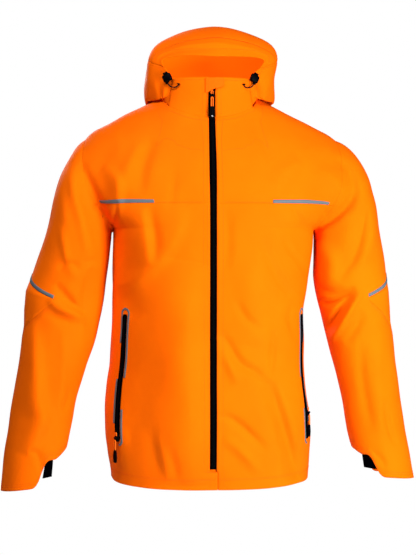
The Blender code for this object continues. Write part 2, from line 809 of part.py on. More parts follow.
def hood_piece(name, first, last, top, bottom):
    """One panel of the hood between two lines across and two rows."""
    slip = 0.0035
    acrosses = [HOOD_SPAN * k / HOOD_CELLS for k in range(HOOD_CELLS + 1)]
    acrosses = [a for a in acrosses if first - 1e-6 <= a <= last + 1e-6]
    rows = [len(HOOD) * k / HOOD_ROWS for k in range(HOOD_ROWS + 1)]
    rows = [r for r in rows if top - 1e-6 <= r <= bottom + 1e-6]
    if first > 0:
        acrosses[0] += slip
    if last < HOOD_SPAN:
        acrosses[-1] -= slip
    if top > 0:
        rows[0] += slip
    elif bottom > 1:
        rows[0] += HOOD_EDGE_SLIP
    elif bottom <= 1:
        rows[-1] -= slip
    points = []
    normals = []
    for row in rows:
        points.append([hood(a, row) for a in acrosses])
        line = []
        for a in acrosses:
            inner_a = min(max(a, 0.01), HOOD_SPAN - 0.01)
            inner_row = min(max(row, 0.01), len(HOOD) - 0.01)
            along = hood(inner_a + 0.005, inner_row) - hood(inner_a - 0.005, inner_row)
            back = hood(inner_a, inner_row + 0.005) - hood(inner_a, inner_row - 0.005)
            line.append(along.cross(back).normalized())
        normals.append(line)
    cloth(name, Grid(points, normals), shell_fabric())


def hood_panels():
    """Visor, two sides and the middle of the hood."""
    hood_piece("hood_visor", HOOD_SEAM, HOOD_SPAN - HOOD_SEAM, 0, 1)
    hood_piece("hood_center", HOOD_SEAM, HOOD_SPAN - HOOD_SEAM, 1, len(HOOD))
    hood_piece("hood_side_left", 0, HOOD_SEAM, 0, len(HOOD))
    hood_piece("hood_side_right", HOOD_SPAN - HOOD_SEAM, HOOD_SPAN, 0, len(HOOD))


# ------------------------------------------------------- zips, tapes, tabs, cords


def edge_points(grid, row):
    """Zip edge of a front panel at a row, and the direction into the panel."""
    edge = grid.at(0, row)
    inward = (grid.at(1, row) - edge).normalized()
    return edge, inward, grid.normal(0, row)


def zip_rows(panels):
    """Matching rows of the left and right panels along the front zip, bottom to top."""
    lower, yoke, stand = panels
    rows = [(lower, lower[0].row_at(0, ZIP_BOTTOM_Z))]
    rows += [(lower, row) for row in range(SPLIT_ROWS + 1, LOWER_CELLS + SEAM_STEP + 1)]
    rows += [(yoke, row) for row in range(1, AROUND // 2 - SEAM_STEP)]
    rows += [(stand, row * ZIP_TOP_RISE) for row in range(4)]
    return rows


def front_zip(panels):
    """Zip tape behind the two fronts, and the chain on it."""
    sunk = WALL + LIE
    tape_rows = []
    chain_rows = []
    tape_normals = []
    chain_normals = []
    for (left, right), row in zip_rows(panels):
        left_edge, left_in, left_out = edge_points(left, row)
        right_edge, right_in, right_out = edge_points(right, row)
        out = (left_out + right_out).normalized()
        middle = (left_edge + right_edge) / 2
        under = ZIP_TAPE_HALF - ZIP_HALF
        tape_rows.append([left_edge + left_in * under, left_edge, right_edge, right_edge + right_in * under])
        tape_normals.append([left_out, out, out, right_out])
        side = (right_edge - left_edge).normalized() * CHAIN_HALF
        chain_rows.append([middle - side, middle + side])
        chain_normals.append([out, out])
    cloth("front_zip_tape", Grid(tape_rows, tape_normals), black_zip(), wall=ZIP_TAPE, out=-sunk)
    chain_out = -sunk + GAP + CHAIN_PROUD
    cloth("front_zip_chain", Grid(chain_rows, chain_normals), black_zip(), wall=CHAIN_PROUD, out=chain_out)
    return Grid(chain_rows, chain_normals), chain_out


def garage():
    """Patch over the top end of the front zip."""
    first = math.asin(ZIP_HALF / NECK_HALF)
    angles = [-math.radians(7.5), -first, first, COLLAR_END / COLLAR_CELLS]
    low_rise = [0.60, 0.63, 0.72, 0.78]
    points = []
    normals = []
    for share in (0.0, 0.5, 1.0):
        rises = [low + (0.985 - low) * share for low in low_rise]
        points.append([collar(a, r) for a, r in zip(angles, rises)])
        normals.append([Vector((math.sin(a), -math.cos(a), 0.0)) for a in angles])
    cloth("zip_garage", Grid(points, normals), shell_fabric(), wall=WALL, out=WALL + 2 * LIE)


def chest_tape(yoke, name):
    """Reflective tape in the outer part of the yoke seam."""
    columns = [CHEST_TAPE_FROM] + list(range(4, 10)) + [CHEST_TAPE_TO]
    stations = [((c, CHEST_TAPE_LOW), (c, CHEST_TAPE_HIGH)) for c in columns]
    ribbon("chest_tape_" + name, yoke, stations, reflective(), TAPE, out=1.6 * LIE)


def elbow_tape(grid, name):
    """Reflective tape above the elbow panel, from its front tip round the outer side."""
    first = round(ELBOW_TIP / (2 * math.pi) * AROUND)
    stations = []
    for column in range(first, -4, -1):
        stations.append(((column, UPPER_SLEEVE_CELLS - 0.14), (column, UPPER_SLEEVE_CELLS - 0.01)))
    ribbon("elbow_tape_" + name, grid, stations, reflective(), TAPE)


def pocket(grid, side, name, column, slider_z):
    """Pocket zip, its reflective frame, and its slider and pull."""
    top = grid.row_at(column, POCKET_TOP_Z)
    low = grid.row_at(column, POCKET_LOW_Z)
    width = (grid.at(column + 0.5, top) - grid.at(column - 0.5, top)).length
    rows = [low] + [r / 2 for r in range(math.ceil(low * 2), math.floor(top * 2) + 1)] + [top]
    half = POCKET_ZIP_HALF / width
    stations = [((column - half, r), (column + half, r)) for r in rows]
    ribbon("pocket_zip_" + name, grid, stations, black_zip(), POCKET_ZIP_THICK)

    def line(offset):
        return [(column + offset / width, r) for r in rows]

    def loop(inset):
        reach = POCKET_TRIM_HALF - inset
        rise = (POCKET_TRIM_END - inset) / (grid.at(column, top) - grid.at(column, top - 0.5)).length / 2
        up = [(column + reach / width, r) for r in rows]
        down = [(column - reach / width, r) for r in reversed(rows)]
        cap = [
            (column + reach / width * math.cos(math.radians(a)), top + rise * math.sin(math.radians(a)))
            for a in (45, 90, 135)
        ]
        foot = [
            (column - reach / width * math.cos(math.radians(a)), low - rise * math.sin(math.radians(a)))
            for a in (45, 90, 135)
        ]
        return up + cap + down + foot

    outer = loop(0.0)
    inner = loop(POCKET_TRIM_WIDE)
    points = [[grid.at(*p) for p in ring] for ring in (outer, inner)]
    normals = [[grid.normal(*p) for p in ring] for ring in (outer, inner)]
    trim = Grid(points, normals, wrapped=True)
    cloth("pocket_trim_" + name, trim, reflective(), wall=TAPE, out=LIE + TAPE)

    row = grid.row_at(column, slider_z)
    out = grid.normal(column, row)
    base = grid.at(column, row) + out * (LIE + POCKET_ZIP_THICK)
    slider_and_pull("pocket", name, base, out, POCKET_PULL)


PullSize = namedtuple("PullSize", "eye cord end half_wide")
FRONT_PULL = PullSize(0.0050, 0.0150, 0.0230, 0.0046)
POCKET_PULL = PullSize(0.0070, 0.0160, 0.0240, 0.0042)


def box_between(work, low, high):
    """Add a box to a bmesh."""
    made = bmesh.ops.create_cube(work, size=1.0)
    for vertex in made["verts"]:
        for axis in range(3):
            vertex.co[axis] = low[axis] if vertex.co[axis] < 0 else high[axis]


def lengthwise(work, sections):
    """Add a closed body of rectangular sections: z, half width, y of its front and back."""
    rings = []
    for z, half, front, back in sections:
        corners = ((-half, front), (half, front), (half, back), (-half, back))
        rings.append([work.verts.new((x, y, z)) for x, y in corners])
    for upper, lower in zip(rings, rings[1:]):
        for k in range(4):
            n = (k + 1) % 4
            work.faces.new((upper[k], upper[n], lower[n], lower[k]))
    work.faces.new(rings[0])
    work.faces.new(list(reversed(rings[-1])))


def barrel(work, half_long, radius, sides=12):
    """Add a cylinder along X about the origin."""
    turned = Matrix.Rotation(math.pi / 2, 4, "Y")
    bmesh.ops.create_cone(
        work, cap_ends=True, segments=sides, radius1=radius, radius2=radius, depth=2 * half_long, matrix=turned
    )


def join(name, parts, cuts, matrix, finish_of):
    """Join simple bodies and cut others away, then place the result."""
    objects = []
    for number, make in enumerate(parts + cuts):
        work = bmesh.new()
        make(work)
        objects.append(finish(name + "_" + str(number), work, finish_of))
    base = objects[0]
    for number, other in enumerate(objects[1:], 1):
        step = base.modifiers.new("step", "BOOLEAN")
        step.operation = "UNION" if number < len(parts) else "DIFFERENCE"
        step.solver = "EXACT"
        step.object = other
        other.hide_render = True
        other.display_type = "WIRE"
        other.matrix_world = matrix
    base.matrix_world = matrix
    base.name = name
    return base


def slider_and_pull(kind, name, base, out, size):
    """Zip slider on a chain, and the pull that hangs from its pin and swings out."""
    axis = Vector((-out.y, out.x, 0.0)).normalized()
    flat = Vector((out.x, out.y, 0.0)).normalized()
    matrix = Matrix((axis, -out, out.cross(axis))).transposed().to_4x4()
    matrix.translation = base + out * HINGE_OUT
    hanging = Matrix((axis, -flat, Vector((0.0, 0.0, 1.0)))).transposed().to_4x4()
    hanging.translation = matrix.translation
    ending = "" if kind == "front_zip" else "_" + name
    foot = HINGE_OUT - GAP

    def body(work):
        lengthwise(
            work,
            (
                (0.0060, 0.0030, 0.0030, foot),
                (0.0030, 0.0044, 0.0026, foot),
                (-0.0050, 0.0040, 0.0026, foot),
                (-0.0075, 0.0032, 0.0030, foot),
            ),
        )

    def lug(x):
        return lambda work: box_between(work, (x - 0.0006, -0.0014, -0.0016), (x + 0.0006, 0.0034, 0.0016))

    def pin(work):
        barrel(work, 0.0029, PIN_RADIUS, 10)

    def eye(work):
        barrel(work, 0.0017, 0.0022)

    def strap(work):
        end = size.eye + size.cord
        lengthwise(
            work,
            (
                (-0.0014, 0.0012, -0.0008, 0.0008),
                (-size.eye, 0.0015, -0.0010, 0.0008),
                (-end, 0.0018, -0.0012, 0.0008),
                (-end - 0.002, size.half_wide * 0.8, -0.0019, 0.0010),
                (-end - size.end * 0.6, size.half_wide, -0.0022, 0.0010),
                (-end - size.end + 0.002, size.half_wide * 0.85, -0.0018, 0.0010),
                (-end - size.end, size.half_wide * 0.5, -0.0010, 0.0008),
            ),
        )

    def bore(work):
        barrel(work, 0.0040, PIN_RADIUS + GAP, 10)

    join(kind + "_slider" + ending, [body, lug(-0.0025), lug(0.0025), pin], [], matrix, black_plastic())
    join(kind + "_pull" + ending, [strap, eye], [bore], hanging, black_plastic())


def cuff_tab(form, axis_of, name):
    """Black tab that hangs out of the cuff beside the hand extension."""
    angles = [math.radians(a + CUFF_TURN[name]) for a in CUFF_TAB_ANGLES]
    rows = [CUFF_ROW + r for r in CUFF_TAB_ROWS]
    points, normals = form_grid(form, angles, lambda angle, row: row, rows, axis_of)
    grid = Grid(points, normals)
    cloth("cuff_tab_" + name, grid, black_plastic(), wall=CUFF_TAB_THICK, out=-(WALL + 2 * LIE))


def cord_lock(side, name):
    """Spring cord lock at the edge of the face opening, its cord and the cord's eyelet."""
    edge = collar(side * LOCK_ANGLE, LOCK_RISE)
    out = Vector((side * math.sin(LOCK_ANGLE), -math.cos(LOCK_ANGLE), 0.0))
    centre = edge + out * (LOCK_RADIUS + LOCK_STAND_OFF)
    tilt = Matrix.Rotation(side * LOCK_TILT, 4, out)
    matrix = Matrix.Translation(centre) @ tilt

    def turned(profile):
        def make(work):
            rings = []
            for radius, height in profile:
                ring = []
                for k in range(12):
                    angle = 2 * math.pi * k / 12
                    ring.append(work.verts.new((radius * math.cos(angle), radius * math.sin(angle), height)))
                rings.append(ring)
            for low, high in zip(rings, rings[1:]):
                for k in range(12):
                    n = (k + 1) % 12
                    work.faces.new((low[k], low[n], high[n], high[k]))
            work.faces.new(list(reversed(rings[0])))
            work.faces.new(rings[-1])

        return make

    barrel_profile = [
        (LOCK_RADIUS * 0.8, -0.0065),
        (LOCK_RADIUS, -0.0045),
        (LOCK_RADIUS, 0.0035),
        (LOCK_RADIUS * 0.75, 0.0050),
    ]
    button_profile = [(LOCK_RADIUS * 0.6, 0.0045), (LOCK_RADIUS * 0.6, 0.0090), (LOCK_RADIUS * 0.4, 0.0100)]
    join("cord_lock_" + name, [turned(barrel_profile), turned(button_profile)], [], matrix, black_plastic())

    points = []
    for angle, rise, off in CORD_ROUTE:
        turn = side * math.radians(angle)
        away = Vector((math.sin(turn), -math.cos(turn), 0.0))
        points.append(collar(turn, rise) + away * off)
    cord = bpy.data.curves.new("cord_loop_" + name, "CURVE")
    cord.dimensions = "3D"
    cord.bevel_depth = CORD_RADIUS
    cord.bevel_resolution = 2
    cord.use_fill_caps = True
    spline = cord.splines.new("POLY")
    fine = []
    keys = list(range(len(points)))
    for step in range(CORD_POINTS):
        at = step * (len(points) - 1) / (CORD_POINTS - 1)
        fine.append([through(keys, [p[axis] for p in points], at) for axis in range(3)])
    spline.points.add(len(fine) - 1)
    for point, place in zip(spline.points, fine):
        point.co = (*place, 1.0)
    cord.materials.append(black_plastic())
    made = bpy.data.objects.new("cord_loop_" + name, cord)
    bpy.context.scene.collection.objects.link(made)


# -------------------------------------------------------------------------- build


def clear_scene():
    for old in list(bpy.data.objects):
        bpy.data.objects.remove(old, do_unlink=True)


def build():
    clear_scene()
    panels = []
    for side, name, table in ((-1, "left", SLEEVE_LEFT), (1, "right", SLEEVE_RIGHT)):
        lower, yoke = front_panels(side, name)
        stand = collar_panel(side, name)
        panels.append((lower, yoke, stand))
        grid, form, axis_of = sleeve(side, table, name)
        chest_tape(yoke, name)
        elbow_tape(grid, name)
        cuff_tab(form, axis_of, name)
        cord_lock(side, name)
    pocket(panels[0][0], -1, "left", POCKET_LEFT_COLUMN, POCKET_LEFT_SLIDER_Z)
    pocket(panels[1][0], 1, "right", POCKET_RIGHT_COLUMN, POCKET_RIGHT_SLIDER_Z)
    back_panel()
    hood_panels()
    chain, chain_out = front_zip(list(zip(*panels)))
    garage()
    row = chain.row_at(0.5, FRONT_SLIDER_Z)
    base = chain.at(0.5, row) + Vector((0.0, -chain_out, 0.0))
    slider_and_pull("front_zip", "", base, Vector((0.0, -1.0, 0.0)), FRONT_PULL)


build()
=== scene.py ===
import json
import math
from collections import namedtuple

import bpy
import numpy as np
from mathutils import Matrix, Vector


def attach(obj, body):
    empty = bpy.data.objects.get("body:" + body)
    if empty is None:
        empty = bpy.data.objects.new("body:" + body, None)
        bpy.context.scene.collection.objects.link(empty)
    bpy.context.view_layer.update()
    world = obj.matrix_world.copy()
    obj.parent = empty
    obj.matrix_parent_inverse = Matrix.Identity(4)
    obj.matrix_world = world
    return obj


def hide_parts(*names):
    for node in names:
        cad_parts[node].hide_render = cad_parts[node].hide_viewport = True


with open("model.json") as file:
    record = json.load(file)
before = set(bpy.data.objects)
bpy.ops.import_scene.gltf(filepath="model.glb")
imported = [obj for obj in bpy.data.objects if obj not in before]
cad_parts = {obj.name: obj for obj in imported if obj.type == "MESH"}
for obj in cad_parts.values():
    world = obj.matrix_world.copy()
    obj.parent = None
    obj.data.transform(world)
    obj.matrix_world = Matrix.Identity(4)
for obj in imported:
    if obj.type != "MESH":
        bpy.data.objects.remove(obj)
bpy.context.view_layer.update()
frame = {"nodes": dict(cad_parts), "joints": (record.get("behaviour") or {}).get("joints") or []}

# The garment's forms are those of the CAD model, with the same numbers, in metres: +Z up, the front
# faces -Y, and the origin is the middle of the neck.
WALL = 0.0016
LIE = 0.0005
GAP = 0.0003
TORSO_SQUARE = 2.5
HEM_SIDE_Z = -0.716
HEM_FRONT_DROP = 0.014
HEM_BACK_DROP = 0.016
HEM_SHAPE = 0.9
ARMPIT_Z = -0.236
NECK_HALF = 0.092
NECK_SIDE_Z = 0.020
NECK_FRONT_Z = -0.027
NECK_BACK_Z = 0.005
SHOULDER_SLOPE = 0.505
SHOULDER_HALF = 0.246
ARMHOLE_TUCK = 0.10
AROUND = 24
LOWER_SHARES = (0.0, 0.068, 0.073, 0.19, 0.32, 0.45, 0.58, 0.72, 0.86, 1.0)
LOWER_CELLS = 9
SPLIT_X = 0.0088
SEAM_STEP = 4
SEAM_ROW = LOWER_CELLS + SEAM_STEP
TOP_ROW = LOWER_CELLS + AROUND // 2
NECK_CELLS = 6
COLUMNS = 10
ZIP_HALF = 0.0065
ZIP_BOTTOM_Z = -0.6905
ZIP_TOP_RISE = 0.70
COLLAR_TOP_Z = 0.049
COLLAR_TOP_HALF = 0.0865
COLLAR_TOP_FRONT = 0.083
COLLAR_TOP_MIDDLE = -0.012
COLLAR_END = math.radians(60)
UPPER_SLEEVE_CELLS = 6
ELBOW_CELLS = 2
FOREARM_CELLS = 5
SLEEVE_CELLS = UPPER_SLEEVE_CELLS + ELBOW_CELLS + FOREARM_CELLS
ELBOW_TIP = math.radians(75)
ELBOW_TIP_ROW = 7.1
ELBOW_TIP_OPEN = 0.08
ELBOW_TOP_ROW = 6.2
ELBOW_LOW_ROW = 9.0
# Grid columns from a sleeve's outer line to the tip of its elbow panel
ELBOW_REACH = round(ELBOW_TIP / (2 * math.pi) * AROUND)
CUFF_ROW = 13.0
CUFF_TURN = {"left": 0, "right": 9}


def table(names, rows):
    """Named columns of numbers."""
    return dict(zip(names.split(), np.array(rows, dtype=float).T))


TORSO = table(
    "z half front back sway",
    [
        (-0.740, 0.1905, 0.122, 0.126, 0.003),
        (-0.706, 0.1920, 0.124, 0.127, 0.003),
        (-0.667, 0.1960, 0.127, 0.129, 0.000),
        (-0.632, 0.1990, 0.129, 0.130, -0.001),
        (-0.585, 0.1985, 0.130, 0.130, -0.003),
        (-0.538, 0.1940, 0.129, 0.128, -0.004),
        (-0.491, 0.1896, 0.128, 0.126, -0.003),
        (-0.445, 0.1877, 0.128, 0.125, -0.001),
        (-0.398, 0.1860, 0.129, 0.126, 0.000),
        (-0.351, 0.1890, 0.131, 0.128, 0.003),
        (-0.293, 0.1935, 0.133, 0.130, 0.007),
        (-0.236, 0.1940, 0.133, 0.132, 0.010),
        (-0.150, 0.1940, 0.131, 0.132, 0.007),
        (-0.060, 0.1940, 0.130, 0.132, 0.006),
        (0.080, 0.1940, 0.130, 0.132, 0.004),
    ],
)
ARMHOLE = table(
    "z half",
    [
        (-0.236, 0.1940),
        (-0.210, 0.2140),
        (-0.180, 0.2320),
        (-0.145, 0.2450),
        (-0.110, 0.2490),
        (-0.080, 0.2485),
        (-0.0556, 0.2460),
        (0.080, 0.2460),
    ],
)
SLEEVE_LEFT = table(
    "outer_x outer_z inner_x inner_z y depth bow",
    [
        (0.244, -0.057, 0.184, -0.236, 0.000, 0.072, 0.030),
        (0.265, -0.090, 0.1875, -0.246, 0.000, 0.077, 0.032),
        (0.286, -0.130, 0.1885, -0.256, 0.000, 0.081, 0.031),
        (0.299, -0.175, 0.1895, -0.266, 0.000, 0.083, 0.027),
        (0.309, -0.222, 0.1905, -0.279, 0.000, 0.083, 0.020),
        (0.322, -0.269, 0.1925, -0.300, 0.000, 0.081, 0.012),
        (0.340, -0.320, 0.1970, -0.332, 0.001, 0.079, 0.005),
        (0.356, -0.368, 0.2030, -0.374, 0.002, 0.077, 0.000),
        (0.355, -0.410, 0.2095, -0.410, 0.001, 0.075, 0.000),
        (0.360, -0.450, 0.2190, -0.448, -0.003, 0.071, 0.000),
        (0.368, -0.505, 0.2360, -0.500, -0.010, 0.066, 0.000),
        (0.378, -0.560, 0.2545, -0.556, -0.017, 0.061, 0.000),
        (0.386, -0.618, 0.2640, -0.606, -0.024, 0.057, 0.000),
        (0.392, -0.662, 0.2720, -0.648, -0.029, 0.055, 0.000),
        (0.400, -0.736, 0.2860, -0.722, -0.036, 0.054, 0.000),
    ],
)
SLEEVE_RIGHT = table(
    "outer_x outer_z inner_x inner_z y depth bow",
    [
        (0.248, -0.057, 0.204, -0.236, 0.000, 0.072, 0.030),
        (0.283, -0.086, 0.2075, -0.246, 0.000, 0.077, 0.032),
        (0.309, -0.125, 0.2085, -0.256, 0.000, 0.081, 0.031),
        (0.323, -0.168, 0.2085, -0.266, 0.000, 0.083, 0.027),
        (0.331, -0.215, 0.2085, -0.279, 0.000, 0.083, 0.020),
        (0.340, -0.262, 0.2080, -0.300, 0.000, 0.081, 0.012),
        (0.349, -0.316, 0.2080, -0.330, 0.001, 0.079, 0.005),
        (0.357, -0.366, 0.2140, -0.370, 0.002, 0.076, 0.000),
        (0.356, -0.405, 0.2240, -0.407, 0.001, 0.073, 0.000),
        (0.362, -0.448, 0.2335, -0.448, -0.003, 0.069, 0.000),
        (0.368, -0.500, 0.2460, -0.500, -0.010, 0.064, 0.000),
        (0.374, -0.556, 0.2590, -0.556, -0.017, 0.060, 0.000),
        (0.380, -0.612, 0.2670, -0.606, -0.024, 0.056, 0.000),
        (0.387, -0.655, 0.2740, -0.648, -0.029, 0.054, 0.000),
        (0.398, -0.718, 0.2920, -0.710, -0.036, 0.053, 0.000),
    ],
)
CUFF_EDGE = table(
    "angle reach",
    [
        (0, 1.00),
        (88, 1.00),
        (103, 0.90),
        (113, 0.42),
        (135, 0.36),
        (180, 0.08),
    ],
)
HOOD = table(
    "start fold_x fold_y fold_z side_x side_y side_z corner_x corner_y corner_z top_y top_z lean",
    [
        (60, 0.079, -0.062, 0.025, 0.0745, -0.068, 0.053, 0.096, -0.060, 0.088, -0.086, 0.090, 0.006),
        (75, 0.103, -0.044, 0.013, 0.1165, -0.040, 0.056, 0.110, -0.040, 0.105, -0.064, 0.130, 0.010),
        (90, 0.124, -0.006, 0.010, 0.1265, 0.000, 0.050, 0.110, 0.000, 0.124, 0.000, 0.158, 0.012),
        (98, 0.119, 0.030, 0.009, 0.1225, 0.055, 0.045, 0.101, 0.075, 0.110, 0.085, 0.141, 0.008),
        (103, 0.112, 0.052, 0.006, 0.1120, 0.095, 0.022, 0.086, 0.135, 0.058, 0.160, 0.080, 0.004),
        (106, 0.105, 0.062, 0.002, 0.1000, 0.100, -0.004, 0.070, 0.140, 0.006, 0.172, 0.016, 0.001),
    ],
)
NAPE_START = math.radians(108)
HOOD_CLEAR = 0.0017
HOOD_SPAN = 10
HOOD_END = 6
HOOD_SEAM = 3.5
HOOD_UNDER_RISE = 0.0045
HOOD_SIDE_LEAN = 0.35


# ------------------------------------------------------------------------- forms


def through(keys, values, at):
    """Cubic through the values with the slopes of a Catmull-Rom curve. Values may be points."""
    keys = np.asarray(keys, dtype=float)
    values = np.asarray(values, dtype=float)
    last = len(keys) - 1
    at = np.clip(np.asarray(at, dtype=float), keys[0], keys[last])
    i = np.clip(np.searchsorted(keys[1:], at, side="left"), 0, last - 1)
    low = np.maximum(np.arange(last + 1) - 1, 0)
    high = np.minimum(np.arange(last + 1) + 1, last)
    run = (keys[high] - keys[low]).reshape((-1,) + (1,) * (values.ndim - 1))
    slopes = (values[high] - values[low]) / run
    span = keys[i + 1] - keys[i]
    t = (at - keys[i]) / span
    more = values.ndim - 1
    t = t.reshape(t.shape + (1,) * more)
    span = span.reshape(span.shape + (1,) * more)
    rise = t * t * (3 - 2 * t)
    return (
        values[i] * (1 - rise)
        + values[i + 1] * rise
        + slopes[i] * span * (t**3 - 2 * t**2 + t)
        + slopes[i + 1] * span * (t**3 - t**2)
    )


def read(rows, at, field):
    return through(next(iter(rows.values())), rows[field], at)


def power(value, exponent):
    return np.sign(value) * np.abs(value) ** exponent


def normed(ways):
    """Directions at length one."""
    return ways / np.linalg.norm(ways, axis=-1, keepdims=True)


def run_along(points):
    """Metres along a line of points to each of them."""
    return np.append(0, np.cumsum(np.linalg.norm(np.diff(points, axis=0), axis=-1)))


def picked(at, run, values):
    """Points or directions of a line at distances along it."""
    return np.stack([np.interp(at, run, values[:, k]) for k in range(3)], axis=-1)


def shoulder_line(x):
    return NECK_SIDE_Z - SHOULDER_SLOPE * (np.abs(x) - NECK_HALF)


SHOULDER_Z = shoulder_line(SHOULDER_HALF)


def armhole_share(z):
    v = np.clip((z - ARMPIT_Z) / (SHOULDER_Z - ARMPIT_Z), 0.0, 1.0)
    return 1 - ARMHOLE_TUCK * (1 - (1 - v) ** 4)


def torso_half(z):
    above = read(ARMHOLE, z, "half") / armhole_share(z)
    return np.where(z <= ARMPIT_Z, read(TORSO, z, "half"), above)


def torso(turn, height):
    """Points of the torso. Turn is 0 at the front middle and a right angle at the side."""
    lift = np.sin(np.maximum(height, 0.0))
    z = ARMPIT_Z + np.minimum(height, 0.0)
    for _ in range(8):
        x = torso_half(z) * power(np.sin(turn), 2 / TORSO_SQUARE)
        z = np.where(height > 0, ARMPIT_Z + (shoulder_line(x) - ARMPIT_Z) * lift, z)
    x = torso_half(z) * power(np.sin(turn), 2 / TORSO_SQUARE)
    depth = np.where(np.cos(turn) > 0, read(TORSO, z, "front"), read(TORSO, z, "back"))
    y = -depth * power(np.cos(turn), 2 / TORSO_SQUARE) * np.cos(np.maximum(height, 0.0))
    sway = read(TORSO, z, "sway") * np.sin(turn) ** 2
    return np.stack([x + sway, y, z], axis=-1)


def turn_at(x, z):
    share = np.minimum(np.abs(x) / torso_half(z), 1.0)
    return np.copysign(np.arcsin(share ** (TORSO_SQUARE / 2)), x)


def rise_at(x, z):
    return np.arcsin(np.clip((z - ARMPIT_Z) / (shoulder_line(x) - ARMPIT_Z), 0.0, 1.0))


def neck_z(x, face):
    low = np.where(np.asarray(face) < 0, NECK_FRONT_Z, NECK_BACK_Z)
    round_off = np.sqrt(np.maximum(1 - (x / NECK_HALF) ** 2, 0.0))
    return low + (NECK_SIDE_Z - low) * (1 - round_off)


def faced(turn, face):
    return np.where(np.asarray(face) < 0, turn, np.copysign(math.pi, turn) - turn)


def neck(angle):
    angle = np.asarray(angle, dtype=float)
    x = NECK_HALF * np.sin(angle)
    face = np.where(np.cos(angle) >= 0, -1, 1)
    z = neck_z(x, face)
    return torso(faced(turn_at(x, z), face), rise_at(x, z))


def armhole_z(angle):
    return ARMPIT_Z + (SHOULDER_Z - ARMPIT_Z) * (1 + np.cos(angle)) / 2


def armhole_turn(z):
    return np.arcsin(armhole_share(z) ** (TORSO_SQUARE / 2))


def armhole(side, angle):
    z = armhole_z(angle)
    turn = armhole_turn(z)
    rise = rise_at(torso_half(z) * armhole_share(z), z)
    face = np.where(np.sin(angle) >= 0, -1, 1)
    return torso(faced(side * turn, face), rise)


def torso_panel(side, face, column, row):
    """Points of a quarter of the torso: columns from the middle to the side, rows from the hem."""
    share = column / COLUMNS
    zip_edge = ZIP_HALF if face < 0 else 0.0
    split = (side * SPLIT_X + GAP / 2) if face < 0 else 0.0
    edge_x = split + (zip_edge - split) * np.clip(row - 1, 0.0, 1.0)
    seam_z = armhole_z(math.pi * (1 - SEAM_STEP * 2 / AROUND))
    # below the armpits
    along_hem = turn_at(edge_x, np.full_like(row, HEM_SIDE_Z)) * (1 - share) + math.pi / 2 * share
    hem_turn = faced(along_hem, face)
    drop = HEM_FRONT_DROP if face < 0 else HEM_BACK_DROP
    low = HEM_SIDE_Z - drop * np.abs(np.cos(hem_turn)) ** HEM_SHAPE
    z_low = low + (ARMPIT_Z - low) * np.interp(row, range(LOWER_CELLS + 1), LOWER_SHARES)
    slip = GAP / 2 / read(TORSO, z_low, "front")
    turn_low = turn_at(edge_x, z_low) * (1 - share) + (math.pi / 2 - slip) * share
    # beside the armholes, up to the yoke seam
    level = armhole_z(math.pi * (1 - np.clip(row - LOWER_CELLS, 0, AROUND // 2) * 2 / AROUND))
    end = armhole_turn(level)
    near_armpit = 1 - np.clip((level - ARMPIT_Z) / (seam_z - ARMPIT_Z), 0.0, 1.0)
    turn_mid = turn_at(edge_x, level) * (1 - share) + math.pi / 2 * share
    turn_mid = turn_mid - (math.pi / 2 - end) * share ** (1 + 5 * near_armpit**2)
    x = torso_half(level) * power(np.sin(turn_mid), 2 / TORSO_SQUARE)
    rise_mid = rise_at(x, level)
    # above the yoke seam
    climb = np.clip((level - seam_z) / (SHOULDER_Z - seam_z), 0.0, 1.0)
    at_neck = column <= NECK_CELLS
    past = (column - NECK_CELLS) / (COLUMNS - NECK_CELLS)
    neck_x = np.maximum(NECK_HALF * np.sin(math.pi / 2 * np.minimum(column / NECK_CELLS, 1.0)), edge_x)
    top_x = np.where(at_neck, neck_x, NECK_HALF + (SHOULDER_HALF - NECK_HALF) * past)
    top_z = np.where(at_neck, neck_z(np.minimum(top_x, NECK_HALF), face), shoulder_line(top_x))
    seam_turn = armhole_turn(np.full_like(row, seam_z))
    bottom = turn_at(edge_x, np.full_like(row, seam_z)) * (1 - share) + seam_turn * share
    turn_high = bottom + (turn_at(top_x, top_z) - bottom) * climb
    z = seam_z + (top_z - seam_z) * climb
    straight_end = seam_turn + (turn_at(SHOULDER_HALF, np.full_like(row, SHOULDER_Z)) - seam_turn) * climb
    turn_high = turn_high + (end - straight_end) * np.clip(column - COLUMNS + 1, 0.0, 1.0)
    x = torso_half(z) * power(np.sin(turn_high), 2 / TORSO_SQUARE)
    rise_high = rise_at(x, z)
    lower = row <= LOWER_CELLS
    middle = row <= SEAM_ROW
    turn = np.where(lower, turn_low, np.where(middle, turn_mid, turn_high))
    height = np.where(lower, z_low - ARMPIT_Z, np.where(middle, rise_mid, rise_high))
    return torso(faced(side * turn, face), height)


def sleeve_section(side, rows, angle, row):
    keys = np.arange(len(rows["y"]))
    value = {name: through(keys, rows[name], row) for name in rows}
    zero = np.zeros_like(row)
    outer = np.stack([side * value["outer_x"], zero, value["outer_z"]], axis=-1)
    inner = np.stack([side * value["inner_x"], zero, value["inner_z"]], axis=-1)
    half = (outer - inner) / 2
    down = np.stack([half[..., 2], zero, -half[..., 0]], axis=-1)
    down = normed(down) * side
    centre = (outer + inner) / 2 + np.stack([zero, value["y"], zero], axis=-1)
    bow = value["bow"] * np.sin(angle) ** 2
    depth = value["depth"] * power(np.sin(angle), 0.92)
    point = centre + half * np.cos(angle)[..., None] + down * bow[..., None]
    point[..., 1] -= depth
    return point


def sleeve_form(side, rows, angle, row):
    """Points of a sleeve by the angle from its outer side, over the front, and the row."""
    angle, row = np.broadcast_arrays(np.asarray(angle, dtype=float), np.asarray(row, dtype=float))
    hold = np.maximum(1 - row / 3.0, 0.0) ** 2
    start = sleeve_section(side, rows, angle, np.zeros_like(row))
    return sleeve_section(side, rows, angle, row) + (armhole(side, angle) - start) * hold[..., None]


def from_outside(angle):
    return np.arccos(np.clip(np.cos(angle), -1.0, 1.0))


